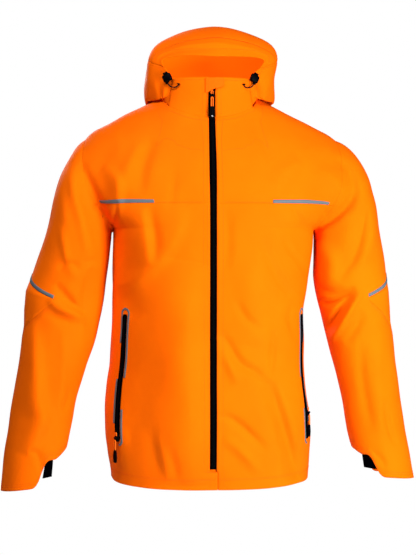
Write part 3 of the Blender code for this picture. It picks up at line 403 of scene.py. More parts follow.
def sleeve_row(angle, cell, name):
    """Row of the sleeve form at a grid line of the cut sleeve."""
    turned = from_outside(angle)
    open_up = np.maximum(1 - turned / ELBOW_TIP, 0.0)
    upper = ELBOW_TIP_ROW - ELBOW_TIP_OPEN + (ELBOW_TOP_ROW - ELBOW_TIP_ROW + ELBOW_TIP_OPEN) * open_up
    lower = ELBOW_TIP_ROW + ELBOW_TIP_OPEN + (ELBOW_LOW_ROW - ELBOW_TIP_ROW - ELBOW_TIP_OPEN) * open_up
    edge = CUFF_ROW + read(CUFF_EDGE, np.degrees(turned) - CUFF_TURN[name], "reach")
    elbow = upper + (lower - upper) * (cell - UPPER_SLEEVE_CELLS) / ELBOW_CELLS
    forearm = lower + (edge - lower) * (cell - UPPER_SLEEVE_CELLS - ELBOW_CELLS) / FOREARM_CELLS
    above = cell <= UPPER_SLEEVE_CELLS
    beside = cell <= UPPER_SLEEVE_CELLS + ELBOW_CELLS
    return np.where(above, upper * cell / UPPER_SLEEVE_CELLS, np.where(beside, elbow, forearm))


def collar(angle, rise):
    """Points of the stand collar: angle from the front middle, rise 0 at the neck seam."""
    angle, rise = np.broadcast_arrays(np.asarray(angle, dtype=float), np.asarray(rise, dtype=float))
    low = neck(angle)
    low[..., 2] += GAP * 1.5
    top_y = COLLAR_TOP_MIDDLE - COLLAR_TOP_FRONT * power(np.cos(angle), 0.6)
    top = np.stack([COLLAR_TOP_HALF * np.sin(angle), top_y, np.full_like(angle, COLLAR_TOP_Z)], axis=-1)
    return low + (top - low) * rise[..., None]


def hood_arches():
    """The key points of the hood's arches, left end to right end, from the face to the nape."""
    arches = []
    for row in range(HOOD_END):
        key = {name: HOOD[name][row] for name in HOOD}
        half = []
        for side in (-1, 1):
            end = neck(side * math.radians(key["start"])) + (0.0, 0.0, HOOD_CLEAR)
            lean = HOOD_SIDE_LEAN * key["lean"]
            fold = np.array([side * key["fold_x"] + lean, key["fold_y"], key["fold_z"]])
            flank = np.array([side * key["side_x"] + lean, key["side_y"], key["side_z"]])
            if row == 0:
                fold = collar(side * COLLAR_END, 0.5)
                flank = collar(side * COLLAR_END, 1.0)
            under = (end + fold) / 2 + (0.0, 0.0, HOOD_UNDER_RISE if row else 0.0)
            corner = np.array([side * key["corner_x"] + key["lean"], key["corner_y"], key["corner_z"]])
            half.append([end, under, fold, flank, corner])
        top = np.array([key["lean"], key["top_y"], key["top_z"]])
        arches.append(half[0] + [top] + list(reversed(half[1])))
    turns = np.linspace(NAPE_START, math.pi, 6)
    left = neck(-turns)[:-1] + (0.0, 0.0, HOOD_CLEAR)
    right = neck(turns) + (0.0, 0.0, HOOD_CLEAR)
    arches.append(list(left) + list(right[::-1]))
    return np.array(arches)


def hood(across, row):
    """Points of the hood on a grid of places across and rows."""
    arcs = through(np.arange(HOOD_SPAN + 1), ARCHES.transpose(1, 0, 2), across)
    return through(np.arange(HOOD_END + 1), arcs.transpose(1, 0, 2), row)


ARCHES = hood_arches()


# ------------------------------------------------------------------ cloth pieces


def lines(stops, step, edges=()):
    """Grid lines between stops of (line number, metres from the first), about a step apart.
    At the numbers in edges there are closer lines, where a seam rolls the cloth under."""
    numbers = [stops[0][0]]
    for (a, at_a), (b, at_b) in zip(stops, stops[1:]):
        length = max(at_b - at_a, 1e-6)
        close = [0.0012, 0.0030]
        inside = list(np.linspace(0, 1, max(round(length / step), 1) + 1)[1:-1])
        near_a = [c / length for c in close if a in edges and c < length * 0.4]
        near_b = [1 - c / length for c in close if b in edges and c < length * 0.4]
        if near_a:
            inside = [s for s in inside if s > near_a[-1] + 0.0015 / length]
        if near_b:
            inside = [s for s in inside if s < near_b[-1] - 0.0015 / length]
        shares = sorted(near_a + inside + near_b)
        numbers += [a + (b - a) * s for s in shares] + [b]
    return np.array(numbers)


def spread(numbers, points):
    """The given line numbers with how far along the middle of a coarse grid each one lies."""
    runs = np.linalg.norm(np.diff(points, axis=0), axis=-1)
    runs = runs.max(axis=1) if runs.ndim > 1 else runs
    along = np.concatenate([[0.0], np.cumsum(runs)])
    return list(zip(numbers, along))


def grid_normals(points, wrapped):
    if wrapped:
        padded = np.concatenate([points[:, -1:], points, points[:, :1]], axis=1)
        across = padded[:, 2:] - padded[:, :-2]
    else:
        across = np.gradient(points, axis=1)
    up = np.gradient(points, axis=0)
    normal = np.cross(across, up)
    length = np.linalg.norm(normal, axis=-1, keepdims=True)
    return normal / np.maximum(length, 1e-12)


TUCK = 0.0035
TUCK_DEPTH = 0.0016


class Cloth:
    """A fine grid of one cloth piece: its outer face before and after the folds."""

    def __init__(self, columns, rows, form, wrapped=False, outward=None):
        self.columns = np.asarray(columns, dtype=float)
        self.rows = np.asarray(rows, dtype=float)
        self.wrapped = wrapped
        column, row = np.meshgrid(self.columns, self.rows)
        self.flat = form(column, row)
        normal = grid_normals(self.flat, wrapped)
        self.turned = np.sum(normal * (self.flat - outward(self.flat))) < 0
        self.normals = -normal if self.turned else normal
        self.points = self.flat

    def move(self, by):
        """Moves the points, and finds the new normals."""
        self.points = self.points + by
        normal = grid_normals(self.points, self.wrapped)
        self.normals = -normal if self.turned else normal

    def fold(self, depth):
        """Moves the points along their normals."""
        self.move(self.normals * depth[..., None])

    def tuck(self, end):
        """Runs the cloth on under its neighbour, past its first row (0) or its last (-1)."""
        inside = 1 if end == 0 else -2
        way = self.points[end] - self.points[inside]
        way /= np.maximum(np.linalg.norm(way, axis=-1, keepdims=True), 1e-9)
        under = self.points[end] + way * TUCK - self.normals[end] * TUCK_DEPTH
        flat = self.flat[end] + way * TUCK
        number = self.rows[end] + (self.rows[end] - self.rows[inside])
        where = 0 if end == 0 else len(self.rows)
        self.points = np.insert(self.points, where, under, axis=0)
        self.flat = np.insert(self.flat, where, flat, axis=0)
        self.normals = np.insert(self.normals, where, self.normals[end], axis=0)
        self.rows = np.insert(self.rows, where, number)

    def at(self, column, row, out=0.0):
        """Points of the folded face at line numbers, moved out along the normals."""
        column, row = np.broadcast_arrays(np.asarray(column, dtype=float), np.asarray(row, dtype=float))
        keys = self.columns
        points, normals = self.points, self.normals
        if self.wrapped:
            keys = np.append(keys, keys[0] + self.wrapped)
            points = np.concatenate([points, points[:, :1]], axis=1)
            normals = np.concatenate([normals, normals[:, :1]], axis=1)
            column = (column - keys[0]) % self.wrapped + keys[0]
        i = np.clip(np.searchsorted(keys, column, side="right") - 1, 0, len(keys) - 2)
        j = np.clip(np.searchsorted(self.rows, row, side="right") - 1, 0, len(self.rows) - 2)
        p = ((column - keys[i]) / (keys[i + 1] - keys[i]))[..., None]
        q = ((row - self.rows[j]) / (self.rows[j + 1] - self.rows[j]))[..., None]

        def mix(grid):
            low = grid[j, i] * (1 - p) + grid[j, i + 1] * p
            high = grid[j + 1, i] * (1 - p) + grid[j + 1, i + 1] * p
            return low * (1 - q) + high * q

        return mix(points) + normed(mix(normals)) * np.asarray(out)[..., None]

    def row_at(self, column, z):
        """Row at which a column passes a height."""
        low, high = self.rows[0], self.rows[-1]
        for _ in range(28):
            middle = (low + high) / 2
            if self.at(column, middle)[2] < z:
                low = middle
            else:
                high = middle
        return low


def mesh_piece(name, vertices, faces, material, metres=None, body="jacket"):
    """A mesh object of the garment that rides on a body. metres are the faces' flat coordinates."""
    mesh = bpy.data.meshes.new(name)
    mesh.from_pydata([tuple(v) for v in vertices], [], [tuple(f) for f in faces])
    if metres is not None:
        layer = mesh.uv_layers.new(name="metres")
        corner = np.zeros(len(mesh.loops), dtype=np.int32)
        mesh.loops.foreach_get("vertex_index", corner)
        layer.data.foreach_set("uv", np.asarray(metres, dtype=np.float32)[corner].ravel())
    mesh.materials.append(material)
    mesh.shade_smooth()
    mesh.update()
    made = bpy.data.objects.new(name, mesh)
    bpy.context.scene.collection.objects.link(made)
    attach(made, body)
    return made


def grid_faces(high, wide, wrapped=False):
    """Faces between the points of a grid of rows and columns."""
    i, j = np.meshgrid(np.arange(wide if wrapped else wide - 1), np.arange(high - 1))
    k = (i + 1) % wide
    return np.stack([j * wide + i, j * wide + k, (j + 1) * wide + k, (j + 1) * wide + i], axis=-1)


def thicken(made, thick):
    """Gives a sheet its thickness, inwards from its outer face."""
    wall = made.modifiers.new("wall", "SOLIDIFY")
    wall.thickness = thick
    wall.offset = -1.0
    return wall


def cloth_piece(name, cloth, material, skip=None, thick=WALL, nodes=()):
    """The cloth as a thin shell: the grid's faces, thickened inwards."""
    high, wide = cloth.points.shape[:2]
    faces = grid_faces(high, wide, bool(cloth.wrapped))
    if cloth.turned:
        faces = faces[..., ::-1]
    keep = np.ones(faces.shape[:2], dtype=bool)
    if skip is not None:
        ends = cloth.columns
        if cloth.wrapped:
            ends = np.append(ends, ends[0] + cloth.wrapped)
        middle_column = (ends[:-1] + ends[1:]) / 2
        middle_row = (cloth.rows[:-1] + cloth.rows[1:]) / 2
        keep = ~skip(*np.meshgrid(middle_column, middle_row))
    faces = faces[keep]
    used = np.unique(faces)
    number = np.full(high * wide, -1)
    number[used] = np.arange(len(used))
    ring = np.linalg.norm(np.diff(cloth.flat, axis=1), axis=-1).mean(axis=0)
    u = np.concatenate([[0.0], np.cumsum(ring)])
    rise = np.linalg.norm(np.diff(cloth.flat, axis=0), axis=-1).mean(axis=1)
    v = np.concatenate([[0.0], np.cumsum(rise)])
    metres = np.stack(np.meshgrid(u, v), axis=-1).reshape(-1, 2)[used]
    made = mesh_piece(name, cloth.points.reshape(-1, 3)[used], number[faces], material, metres)
    thicken(made, thick).use_quality_normals = True
    if nodes:
        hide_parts(*nodes)
    return made


def ring_path(path, radius, sides):
    """Vertices and faces of a tube along a path, with a radius at each point."""
    path = np.asarray(path, dtype=float)
    count = len(path)
    radius = np.broadcast_to(np.asarray(radius, dtype=float), (count,))
    along = normed(np.gradient(path, axis=0))
    side = np.cross(along[0], (0.31, 0.22, 0.93))
    vertices = []
    for spot, way, size in zip(path, along, radius):
        side = side - way * (side @ way)
        side /= np.linalg.norm(side)
        other = np.cross(way, side)
        for k in range(sides):
            turn = 2 * math.pi * k / sides
            vertices.append(spot + size * (side * math.cos(turn) + other * math.sin(turn)))
    faces = []
    for j in range(count - 1):
        for k in range(sides):
            a, b = j * sides + k, j * sides + (k + 1) % sides
            faces.append((a, b, b + sides, a + sides))
    faces.append(tuple(range(sides))[::-1])
    faces.append(tuple((count - 1) * sides + k for k in range(sides)))
    return vertices, faces


def tube(name, path, radius, material, body="jacket", sides=12):
    vertices, faces = ring_path(path, radius, sides)
    return mesh_piece(name, vertices, faces, material, body=body)


def smooth_path(points, count):
    points = np.asarray(points, dtype=float)
    stops = np.linspace(0, len(points) - 1, count)
    return np.stack([through(range(len(points)), points[:, k], stops) for k in range(3)], axis=-1)


def axis_of_torso(points):
    centre = points.copy()
    centre[..., :2] = 0.0
    centre[..., 2] = np.minimum(centre[..., 2], ARMPIT_Z)
    return centre


def seam_roll(cloth, left=0.0, right=0.0, bottom=0.0, top=0.0, reach=0.0032):
    """Moves inwards of the points beside the stitched edges of a piece."""
    points = cloth.flat
    across = np.linalg.norm(np.diff(points, axis=1), axis=-1)
    up = np.linalg.norm(np.diff(points, axis=0), axis=-1)
    zero_column = np.zeros((points.shape[0], 1))
    zero_row = np.zeros((1, points.shape[1]))
    from_left = np.concatenate([zero_column, np.cumsum(across, axis=1)], axis=1)
    from_right = from_left[:, -1:] - from_left
    from_bottom = np.concatenate([zero_row, np.cumsum(up, axis=0)], axis=0)
    from_top = from_bottom[-1:] - from_bottom
    sink = np.zeros(points.shape[:2])
    for amount, distance in ((left, from_left), (right, from_right), (bottom, from_bottom), (top, from_top)):
        if amount:
            sink = np.maximum(sink, amount * np.clip(1 - distance / reach, 0, 1) ** 2)
    return -sink


# --------------------------------------------------------------------- materials


def add_node(nodes, kind, **values):
    """A shader node with constant inputs, whose names have _ for a space."""
    made = nodes.new("ShaderNode" + kind)
    for name, value in values.items():
        made.inputs[name.replace("_", " ")].default_value = value
    return made


def new_material(name):
    """A material with its nodes, its link function and its shader."""
    made = bpy.data.materials.new(name)
    made.use_nodes = True
    return made, made.node_tree.nodes, made.node_tree.links.new, made.node_tree.nodes["Principled BSDF"]


WEAVE = 0.0006


def fabric(name, colour, shade, roughness):
    """Woven cloth: a fine weave in the piece's flat metres, soft colour changes and tinted gloss."""
    made, nodes, link, shader = new_material(name)
    flat = nodes.new("ShaderNodeUVMap")
    flat.uv_map = "metres"
    place = nodes.new("ShaderNodeTexCoord")
    cloud = add_node(nodes, "TexNoise", Scale=9.0, Detail=5.0)
    link(place.outputs["Object"], cloud.inputs["Vector"])
    ramp = add_node(nodes, "MapRange", From_Min=0.3, From_Max=0.7)
    link(cloud.outputs["Fac"], ramp.inputs["Value"])
    tone = nodes.new("ShaderNodeMix")
    tone.data_type = "RGBA"
    tone.inputs["A"].default_value = (*shade, 1.0)
    tone.inputs["B"].default_value = (*colour, 1.0)
    link(ramp.outputs["Result"], tone.inputs["Factor"])
    link(tone.outputs["Result"], shader.inputs["Base Color"])
    heights = []
    for turn in (0.0, math.pi / 2):
        thread = nodes.new("ShaderNodeTexWave")
        thread.wave_profile = "SIN"
        thread.bands_direction = "X" if turn == 0.0 else "Y"
        thread.inputs["Scale"].default_value = 1.0 / WEAVE / 6.2832 * 2
        thread.inputs["Distortion"].default_value = 0.6
        link(flat.outputs["UV"], thread.inputs["Vector"])
        heights.append(thread.outputs["Fac"])
    both = nodes.new("ShaderNodeMath")
    both.operation = "MAXIMUM"
    link(heights[0], both.inputs[0])
    link(heights[1], both.inputs[1])
    crumple = add_node(nodes, "TexNoise", Scale=55.0, Detail=6.0, Roughness=0.6)
    link(place.outputs["Object"], crumple.inputs["Vector"])
    soft = add_node(nodes, "Bump", Strength=0.15, Distance=0.004)
    link(crumple.outputs["Fac"], soft.inputs["Height"])
    fine = add_node(nodes, "Bump", Strength=0.25, Distance=0.0002)
    link(both.outputs["Value"], fine.inputs["Height"])
    link(soft.outputs["Normal"], fine.inputs["Normal"])
    link(fine.outputs["Normal"], shader.inputs["Normal"])
    shader.inputs["Roughness"].default_value = roughness
    shader.inputs["Specular IOR Level"].default_value = 0.12
    shader.inputs["Specular Tint"].default_value = (1.0, 0.40, 0.04, 1.0)
    shader.inputs["Sheen Weight"].default_value = 0.06
    shader.inputs["Sheen Roughness"].default_value = 0.5
    shader.inputs["Sheen Tint"].default_value = (*colour, 1.0)
    return made


def plain(name, colour, roughness, bump=0.1, scale=400.0, metallic=0.0, specular=0.4):
    """Moulded or printed surface with a fine grain."""
    made, nodes, link, shader = new_material(name)
    place = nodes.new("ShaderNodeTexCoord")
    grain = add_node(nodes, "TexNoise", Scale=scale, Detail=3.0)
    link(place.outputs["Object"], grain.inputs["Vector"])
    tone = nodes.new("ShaderNodeMix")
    tone.data_type = "RGBA"
    tone.inputs["A"].default_value = (*[c * 0.75 for c in colour], 1.0)
    tone.inputs["B"].default_value = (*colour, 1.0)
    link(grain.outputs["Fac"], tone.inputs["Factor"])
    link(tone.outputs["Result"], shader.inputs["Base Color"])
    rise = add_node(nodes, "Bump", Strength=bump, Distance=0.0004)
    link(grain.outputs["Fac"], rise.inputs["Height"])
    link(rise.outputs["Normal"], shader.inputs["Normal"])
    shader.inputs["Roughness"].default_value = roughness
    shader.inputs["Metallic"].default_value = metallic
    shader.inputs["Specular IOR Level"].default_value = specular
    return made


SHELL = fabric("shell_cloth", (0.84, 0.124, 0.0008), (0.79, 0.108, 0.0006), 0.66)
BLACK_TAPE = plain("zip_tape_black", (0.0004, 0.0004, 0.0012), 0.9, bump=0.3, specular=0.0)
BLACK_PLASTIC = plain("moulded_black", (0.0006, 0.0006, 0.0012), 0.5, specular=0.03)
THREAD_ORANGE = plain("stitch_thread", (0.80, 0.085, 0.002), 0.7, bump=0.2, scale=2500.0, specular=0.1)
CORD_BLACK = plain("black_cord", (0.0012, 0.0012, 0.0016), 0.75, bump=0.4, scale=1800.0, specular=0.1)
CORD_ORANGE = plain("orange_cord", (1.0, 0.15, 0.004), 0.7, bump=0.4, scale=1800.0, specular=0.1)
SILVER = plain("silver_stud", (0.42, 0.43, 0.45), 0.35, bump=0.05, metallic=0.8)
GARAGE = fabric("garage_cloth", (0.95, 0.105, 0.002), (0.88, 0.09, 0.0015), 0.7)
REFLECTIVE = plain("reflective_film", (0.105, 0.130, 0.150), 0.6, bump=0.3, scale=900.0, specular=0.2)


# ---------------------------------------------------------------- camera and light

YAW = math.radians(4.5)
CAMERA_AWAY = 3.2
CAMERA_Z = -0.3305
PIXELS_AT_1_M = 1641
LENS_MM = 106.44
PHOTO_MIDDLE_PX = (208, 277.5)
lens = bpy.data.cameras.new("camera")
lens.lens = LENS_MM
camera = bpy.data.objects.new("camera", lens)
camera.location = (-CAMERA_AWAY * math.sin(YAW), -CAMERA_AWAY * math.cos(YAW), CAMERA_Z)
camera.rotation_euler = (math.pi / 2, 0.0, -YAW)
bpy.context.scene.collection.objects.link(camera)
bpy.context.scene.camera = camera
bpy.context.scene.view_settings.view_transform = "Standard"


# -------------------------------------------------------------------------- cords

# The hood's cords: angle round the neck from the front, rise up the collar, metres off it
CORD_ROUTE = [
    (61.5, 0.865, 0.0085),
    (60.5, 0.81, 0.0070),
    (58, 0.74, 0.0056),
    (54, 0.70, 0.0042),
    (49, 0.70, 0.0030),
    (45, 0.75, 0.0023),
    (44, 0.83, 0.0019),
]
CORD_RADIUS = 0.0012
BEAD_RADII = (0.0018, 0.0032, 0.0032, 0.0018)
LOCK_ANGLE = math.radians(60)
LOCK_RISE = 1.02
LOCK_OUT = 0.0079
LOCK_FACING = math.radians(28)
LOCK_LEAN = math.radians(25)
LOCK_SHIFT = 0.002
LOCK_AHEAD = 0.0005
LOCK_SIDES = 28
# Height, half width, half depth of the cord lock's sections, from its foot to its button
LOCK_SECTIONS = [
    (-0.0078, 0.0066, 0.0032),
    (-0.0070, 0.0080, 0.0042),
    (-0.0050, 0.0090, 0.0048),
    (0.0036, 0.0090, 0.0048),
    (0.0060, 0.0084, 0.0044),
    (0.0068, 0.0070, 0.0034),
    (0.0069, 0.0046, 0.0026),
    (0.0098, 0.0050, 0.0028),
    (0.0108, 0.0042, 0.0022),
]


def cord_route(side):
    """Points of the middle of a cord."""
    last = len(CORD_ROUTE) - 1
    stops = np.linspace(0, last, 24)
    angle, rise, off = (through(range(last + 1), column, stops) for column in zip(*CORD_ROUTE))
    turn = np.radians(angle) * side
    away = np.stack([np.sin(turn), -np.cos(turn), 0 * turn], axis=-1)
    return collar(turn, rise) + away * off[:, None]


def cord_lock(side, name):
    """The moulded lock at the corner of the face opening, with its button."""
    away = np.array([side * math.sin(LOCK_ANGLE), -math.cos(LOCK_ANGLE), 0.0])
    centre = collar(np.array([side * LOCK_ANGLE]), np.array([LOCK_RISE]))[0] + away * LOCK_OUT
    centre = centre + (side * LOCK_SHIFT, -LOCK_AHEAD, 0.0)
    out = np.array([side * math.sin(LOCK_FACING), -math.cos(LOCK_FACING), 0.0])
    wide = np.array([math.cos(LOCK_FACING), side * math.sin(LOCK_FACING), 0.0])
    up = np.array([0.0, 0.0, 1.0]) * math.cos(LOCK_LEAN) + wide * side * math.sin(LOCK_LEAN)
    wide = wide * math.cos(LOCK_LEAN) - np.array([0.0, 0.0, 1.0]) * side * math.sin(LOCK_LEAN)
    turn = np.linspace(0, 2 * math.pi, LOCK_SIDES, endpoint=False)
    across = power(np.cos(turn), 0.6)
    deep = power(np.sin(turn), 0.6)
    rings = []
    for height, half, depth in LOCK_SECTIONS:
        rings.append(centre + up * height + across[:, None] * half * wide + deep[:, None] * depth * out)
    vertices = np.concatenate(rings)
    last = len(vertices) - LOCK_SIDES
    faces = [tuple(range(LOCK_SIDES)), tuple(last + k for k in range(LOCK_SIDES))[::-1]]
    for first in range(0, last, LOCK_SIDES):
        for k in range(LOCK_SIDES):
            a, b = first + k, first + (k + 1) % LOCK_SIDES
            faces.append((a, a + LOCK_SIDES, b + LOCK_SIDES, b))
    if side < 0:
        faces = [face[::-1] for face in faces]
    made = mesh_piece("lock_" + name, vertices, faces, BLACK_PLASTIC)
    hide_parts("cord_lock_" + name)


for side, name in ((-1, "left"), (1, "right")):
    route = cord_route(side)
    cord = tube("cord_" + name, route, CORD_RADIUS, CORD_BLACK)
    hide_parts("cord_loop_" + name)
    ends = []
    for spot, along in ((route[-3:], "far"), (route[:5], "near")):
        line = smooth_path(spot, 10)
        size = np.interp(np.linspace(0, 1, 10), (0, 0.2, 0.8, 1), BEAD_RADII)
        bead = tube("cord_bead_%s_%s" % (along, name), line, size, BLACK_PLASTIC)
        ends.append(bead)
    tuple(route[0])
    [tuple(point) for point in route]
    cord_lock(side, name)


def softbox(name, place, target, size, power_w):
    """A flat light of a size, pointed at a target."""
    light = bpy.data.lights.new(name, "AREA")
    light.shape = "RECTANGLE"
    light.size, light.size_y = size
    light.energy = power_w
    made = bpy.data.objects.new(name, light)
    made.location = place
    made.rotation_euler = (Vector(target) - Vector(place)).to_track_quat("-Z", "Y").to_euler()
    bpy.context.scene.collection.objects.link(made)


# Name, place, target, width and height, watts
softbox("key", (0.85, -1.15, -0.42), (0.05, -0.10, -0.35), (0.5, 1.1), 37.0)
softbox("left", (-1.2, -0.9, 0.7), (-0.1, -0.1, 0.0), (0.5, 0.8), 6.0)
softbox("top_left", (-0.5, -1.3, 1.3), (-0.1, 0.0, 0.0), (1.0, 0.6), 35.0)
softbox("in_hood", (0.0, -0.03, 0.103), (-0.02, 0.09, 0.05), (0.10, 0.02), 0.42)
softbox("behind", (-0.9, 2.6, 0.9), (0.0, 0.1, -0.3), (1.2, 1.2), 40.0)

world = bpy.data.worlds.new("studio")
world.use_nodes = True
bpy.context.scene.world = world
air = world.node_tree.nodes["Background"]
air.inputs["Color"].default_value = (1.0, 1.0, 1.0, 1.0)
air.inputs["Strength"].default_value = 0.05
seen = world.node_tree.nodes.new("ShaderNodeBackground")
seen.inputs["Color"].default_value = (1.0, 1.0, 1.0, 1.0)
seen.inputs["Strength"].default_value = 1.0
ray = world.node_tree.nodes.new("ShaderNodeLightPath")
either = world.node_tree.nodes.new("ShaderNodeMixShader")
world.node_tree.links.new(ray.outputs["Is Camera Ray"], either.inputs[0])
world.node_tree.links.new(air.outputs[0], either.inputs[1])
world.node_tree.links.new(seen.outputs[0], either.inputs[2])
world.node_tree.links.new(either.outputs[0], world.node_tree.nodes["World Output"].inputs["Surface"])

bpy.ops.mesh.primitive_circle_add(vertices=96, radius=1.5, fill_type="NGON", location=(0.0, 0.0, -1.2))
floor = bpy.context.object
floor.name = "floor"
floor.data.materials.append(plain("floor_pale", (0.85, 0.85, 0.85), 0.7, bump=0.0, scale=20.0))


# ------------------------------------------------------------------------ folds

# How strongly the folds of each part of the front stand out
STRENGTH = {
    "sleeve_left": 1.85,
    "sleeve_right": 1.8,
    "chest": 2.0,
    "chest_right": 2.0,
    "body_left": 1.4,
    "body_right": 2.3,
}
# Folds traced over the photo: height and widths to the left and right in millimetres, line in photo
# pixels. Left and right are the picture's where a line runs down, and swapped where it runs up.
# A positive height is a ridge, a negative one a trough.
Fold = namedtuple("Fold", "height left right line_px")
FRONT_FOLDS = {
    "sleeve_left": [
        Fold(5.5, 11, 13, [(71, 166), (73, 185), (76, 202), (81, 220), (86, 240), (90, 260)]),
        Fold(-5, 11, 9, [(80, 163), (88, 180), (96, 198), (105, 216), (112, 232)]),
        Fold(5, 16, 8, [(104, 166), (116, 177), (119, 190), (118, 206), (115, 218)]),
        Fold(-3.5, 5, 5, [(118, 200), (116, 214), (114, 226), (113, 240)]),
        Fold(-2.5, 6, 6, [(58, 269), (66, 264), (74, 265), (80, 270)]),
        Fold(2.5, 8, 8, [(60, 225), (64, 245), (68, 262), (76, 280)]),
        Fold(-4.5, 8, 7, [(55, 284), (66, 297), (76, 307), (84, 314)]),
        Fold(4.5, 8, 9, [(48, 300), (62, 309), (74, 314), (88, 321)]),
        Fold(-2, 8, 9, [(44, 312), (58, 318), (74, 324)]),
        Fold(-5, 8, 24, [(93, 268), (87, 285), (84, 305), (88, 322), (95, 340)]),
        Fold(7.6, 24, 12, [(31, 318), (35, 345), (37, 375), (38, 400), (42, 418), (36, 434), (27, 455)]),
        Fold(-3, 5, 5, [(29, 450), (37, 454), (41, 462), (43, 474)]),
        Fold(-2, 6, 6, [(70, 388), (67, 400), (62, 412)]),
        Fold(2, 10, 8, [(62, 330), (64, 360), (62, 392), (58, 420)]),
    ],
    "chest": [
        Fold(-3, 12, 13, [(153, 138), (145, 160), (141, 178), (140, 195)]),
        Fold(2.5, 14, 10, [(140, 142), (131, 160), (124, 178), (122, 195)]),
        Fold(-1.2, 9, 9, [(176, 172), (173, 190), (170, 210)]),
        Fold(1.5, 16, 14, [(112, 130), (120, 148), (112, 165)]),
    ],
    "body_left": [
        Fold(7.5, 34, 8, [(140, 208), (144, 222), (147, 242), (150, 266)]),
        Fold(5, 26, 12, [(183, 205), (179, 226), (168, 248), (152, 268), (132, 284), (118, 296)]),
        Fold(-3, 8, 10, [(150, 205), (153, 225), (156, 244), (153, 262)]),
        Fold(15, 53, 36, [(190, 262), (184, 300), (183, 350), (185, 410), (188, 485)]),
        Fold(-4.6, 26, 44, [(122, 240), (121, 285), (123, 335), (128, 390), (134, 455), (138, 515)]),
        Fold(-4, 14, 22, [(122, 285), (126, 300), (134, 320)]),
        Fold(-1.6, 13, 10, [(150, 425), (154, 450), (160, 480)]),
        Fold(1.5, 7, 6, [(158, 434), (163, 454), (168, 480)]),
        Fold(-2, 7, 8, [(170, 446), (174, 462), (178, 482)]),
    ],
    "chest_right": [
        Fold(-3.5, 13, 9, [(334, 158), (347, 168), (354, 184), (353, 200), (345, 214)]),
        Fold(-4.5, 7, 7, [(354, 194), (344, 209), (331, 221), (314, 230)]),
        Fold(2.5, 14, 14, [(318, 168), (334, 180), (337, 196), (326, 212)]),
        Fold(-1.8, 6, 6, [(292, 203), (297, 214), (303, 228)]),
        Fold(-1.8, 7, 6, [(284, 238), (292, 252), (301, 264), (308, 282)]),
        Fold(2, 16, 10, [(300, 160), (284, 172), (274, 190)]),
        Fold(-1.2, 10, 10, [(252, 124), (262, 140), (272, 160)]),
    ],
    "sleeve_right": [
        Fold(-5.5, 26, 8, [(373, 184), (367, 208), (362, 234), (354, 258), (338, 280)]),
        Fold(3, 9, 11, [(380, 196), (374, 226), (368, 250), (360, 268)]),
        Fold(4.5, 10, 26, [(318, 212), (317, 235), (318, 262), (323, 290)]),
        Fold(4, 16, 14, [(318, 240), (330, 256), (333, 272), (326, 288)]),
        Fold(-7.5, 7, 7, [(314, 302), (328, 303), (343, 297), (356, 289)]),
        Fold(-6, 7, 5, [(322, 334), (331, 322), (341, 308), (352, 294)]),
        Fold(7.5, 7, 6, [(362, 292), (354, 304), (346, 318), (338, 331), (329, 342)]),
        Fold(-3, 8, 8, [(364, 312), (356, 328), (345, 342)]),
        Fold(-2.5, 7, 7, [(318, 288), (334, 293), (346, 290)]),
        Fold(1.5, 14, 12, [(376, 318), (378, 350), (378, 390), (381, 430), (388, 468)]),
        Fold(-2.5, 10, 9, [(362, 340), (362, 370), (366, 400), (372, 430)]),
        Fold(-2.5, 6, 6, [(384, 402), (388, 424), (396, 446)]),
        Fold(-2, 6, 6, [(372, 452), (380, 458), (386, 468)]),
    ],
    "body_right": [
        Fold(-3.2, 8, 8, [(221, 332), (231, 349), (241, 364), (256, 373), (268, 384)]),
        Fold(2.5, 9, 9, [(224, 352), (231, 368), (238, 384)]),
        Fold(-2.2, 7, 7, [(275, 330), (273, 355), (271, 378)]),
        Fold(-6, 18, 9, [(268, 380), (277, 402), (286, 430), (293, 456), (298, 486)]),
        Fold(-3, 8, 7, [(220, 414), (236, 422), (250, 434), (266, 450)]),
        Fold(2.5, 10, 10, [(224, 438), (242, 452), (262, 474)]),
        Fold(-1.8, 7, 7, [(236, 300), (246, 318), (262, 330)]),
        Fold(-2, 9, 9, [(262, 240), (270, 262), (282, 284), (296, 300)]),
        Fold(-1.5, 7, 7, [(296, 300), (290, 318), (296, 340)]),
        Fold(3, 30, 26, [(258, 250), (256, 300), (250, 345)]),
        Fold(-2, 12, 10, [(226, 208), (228, 240), (226, 270)]),
    ],
}

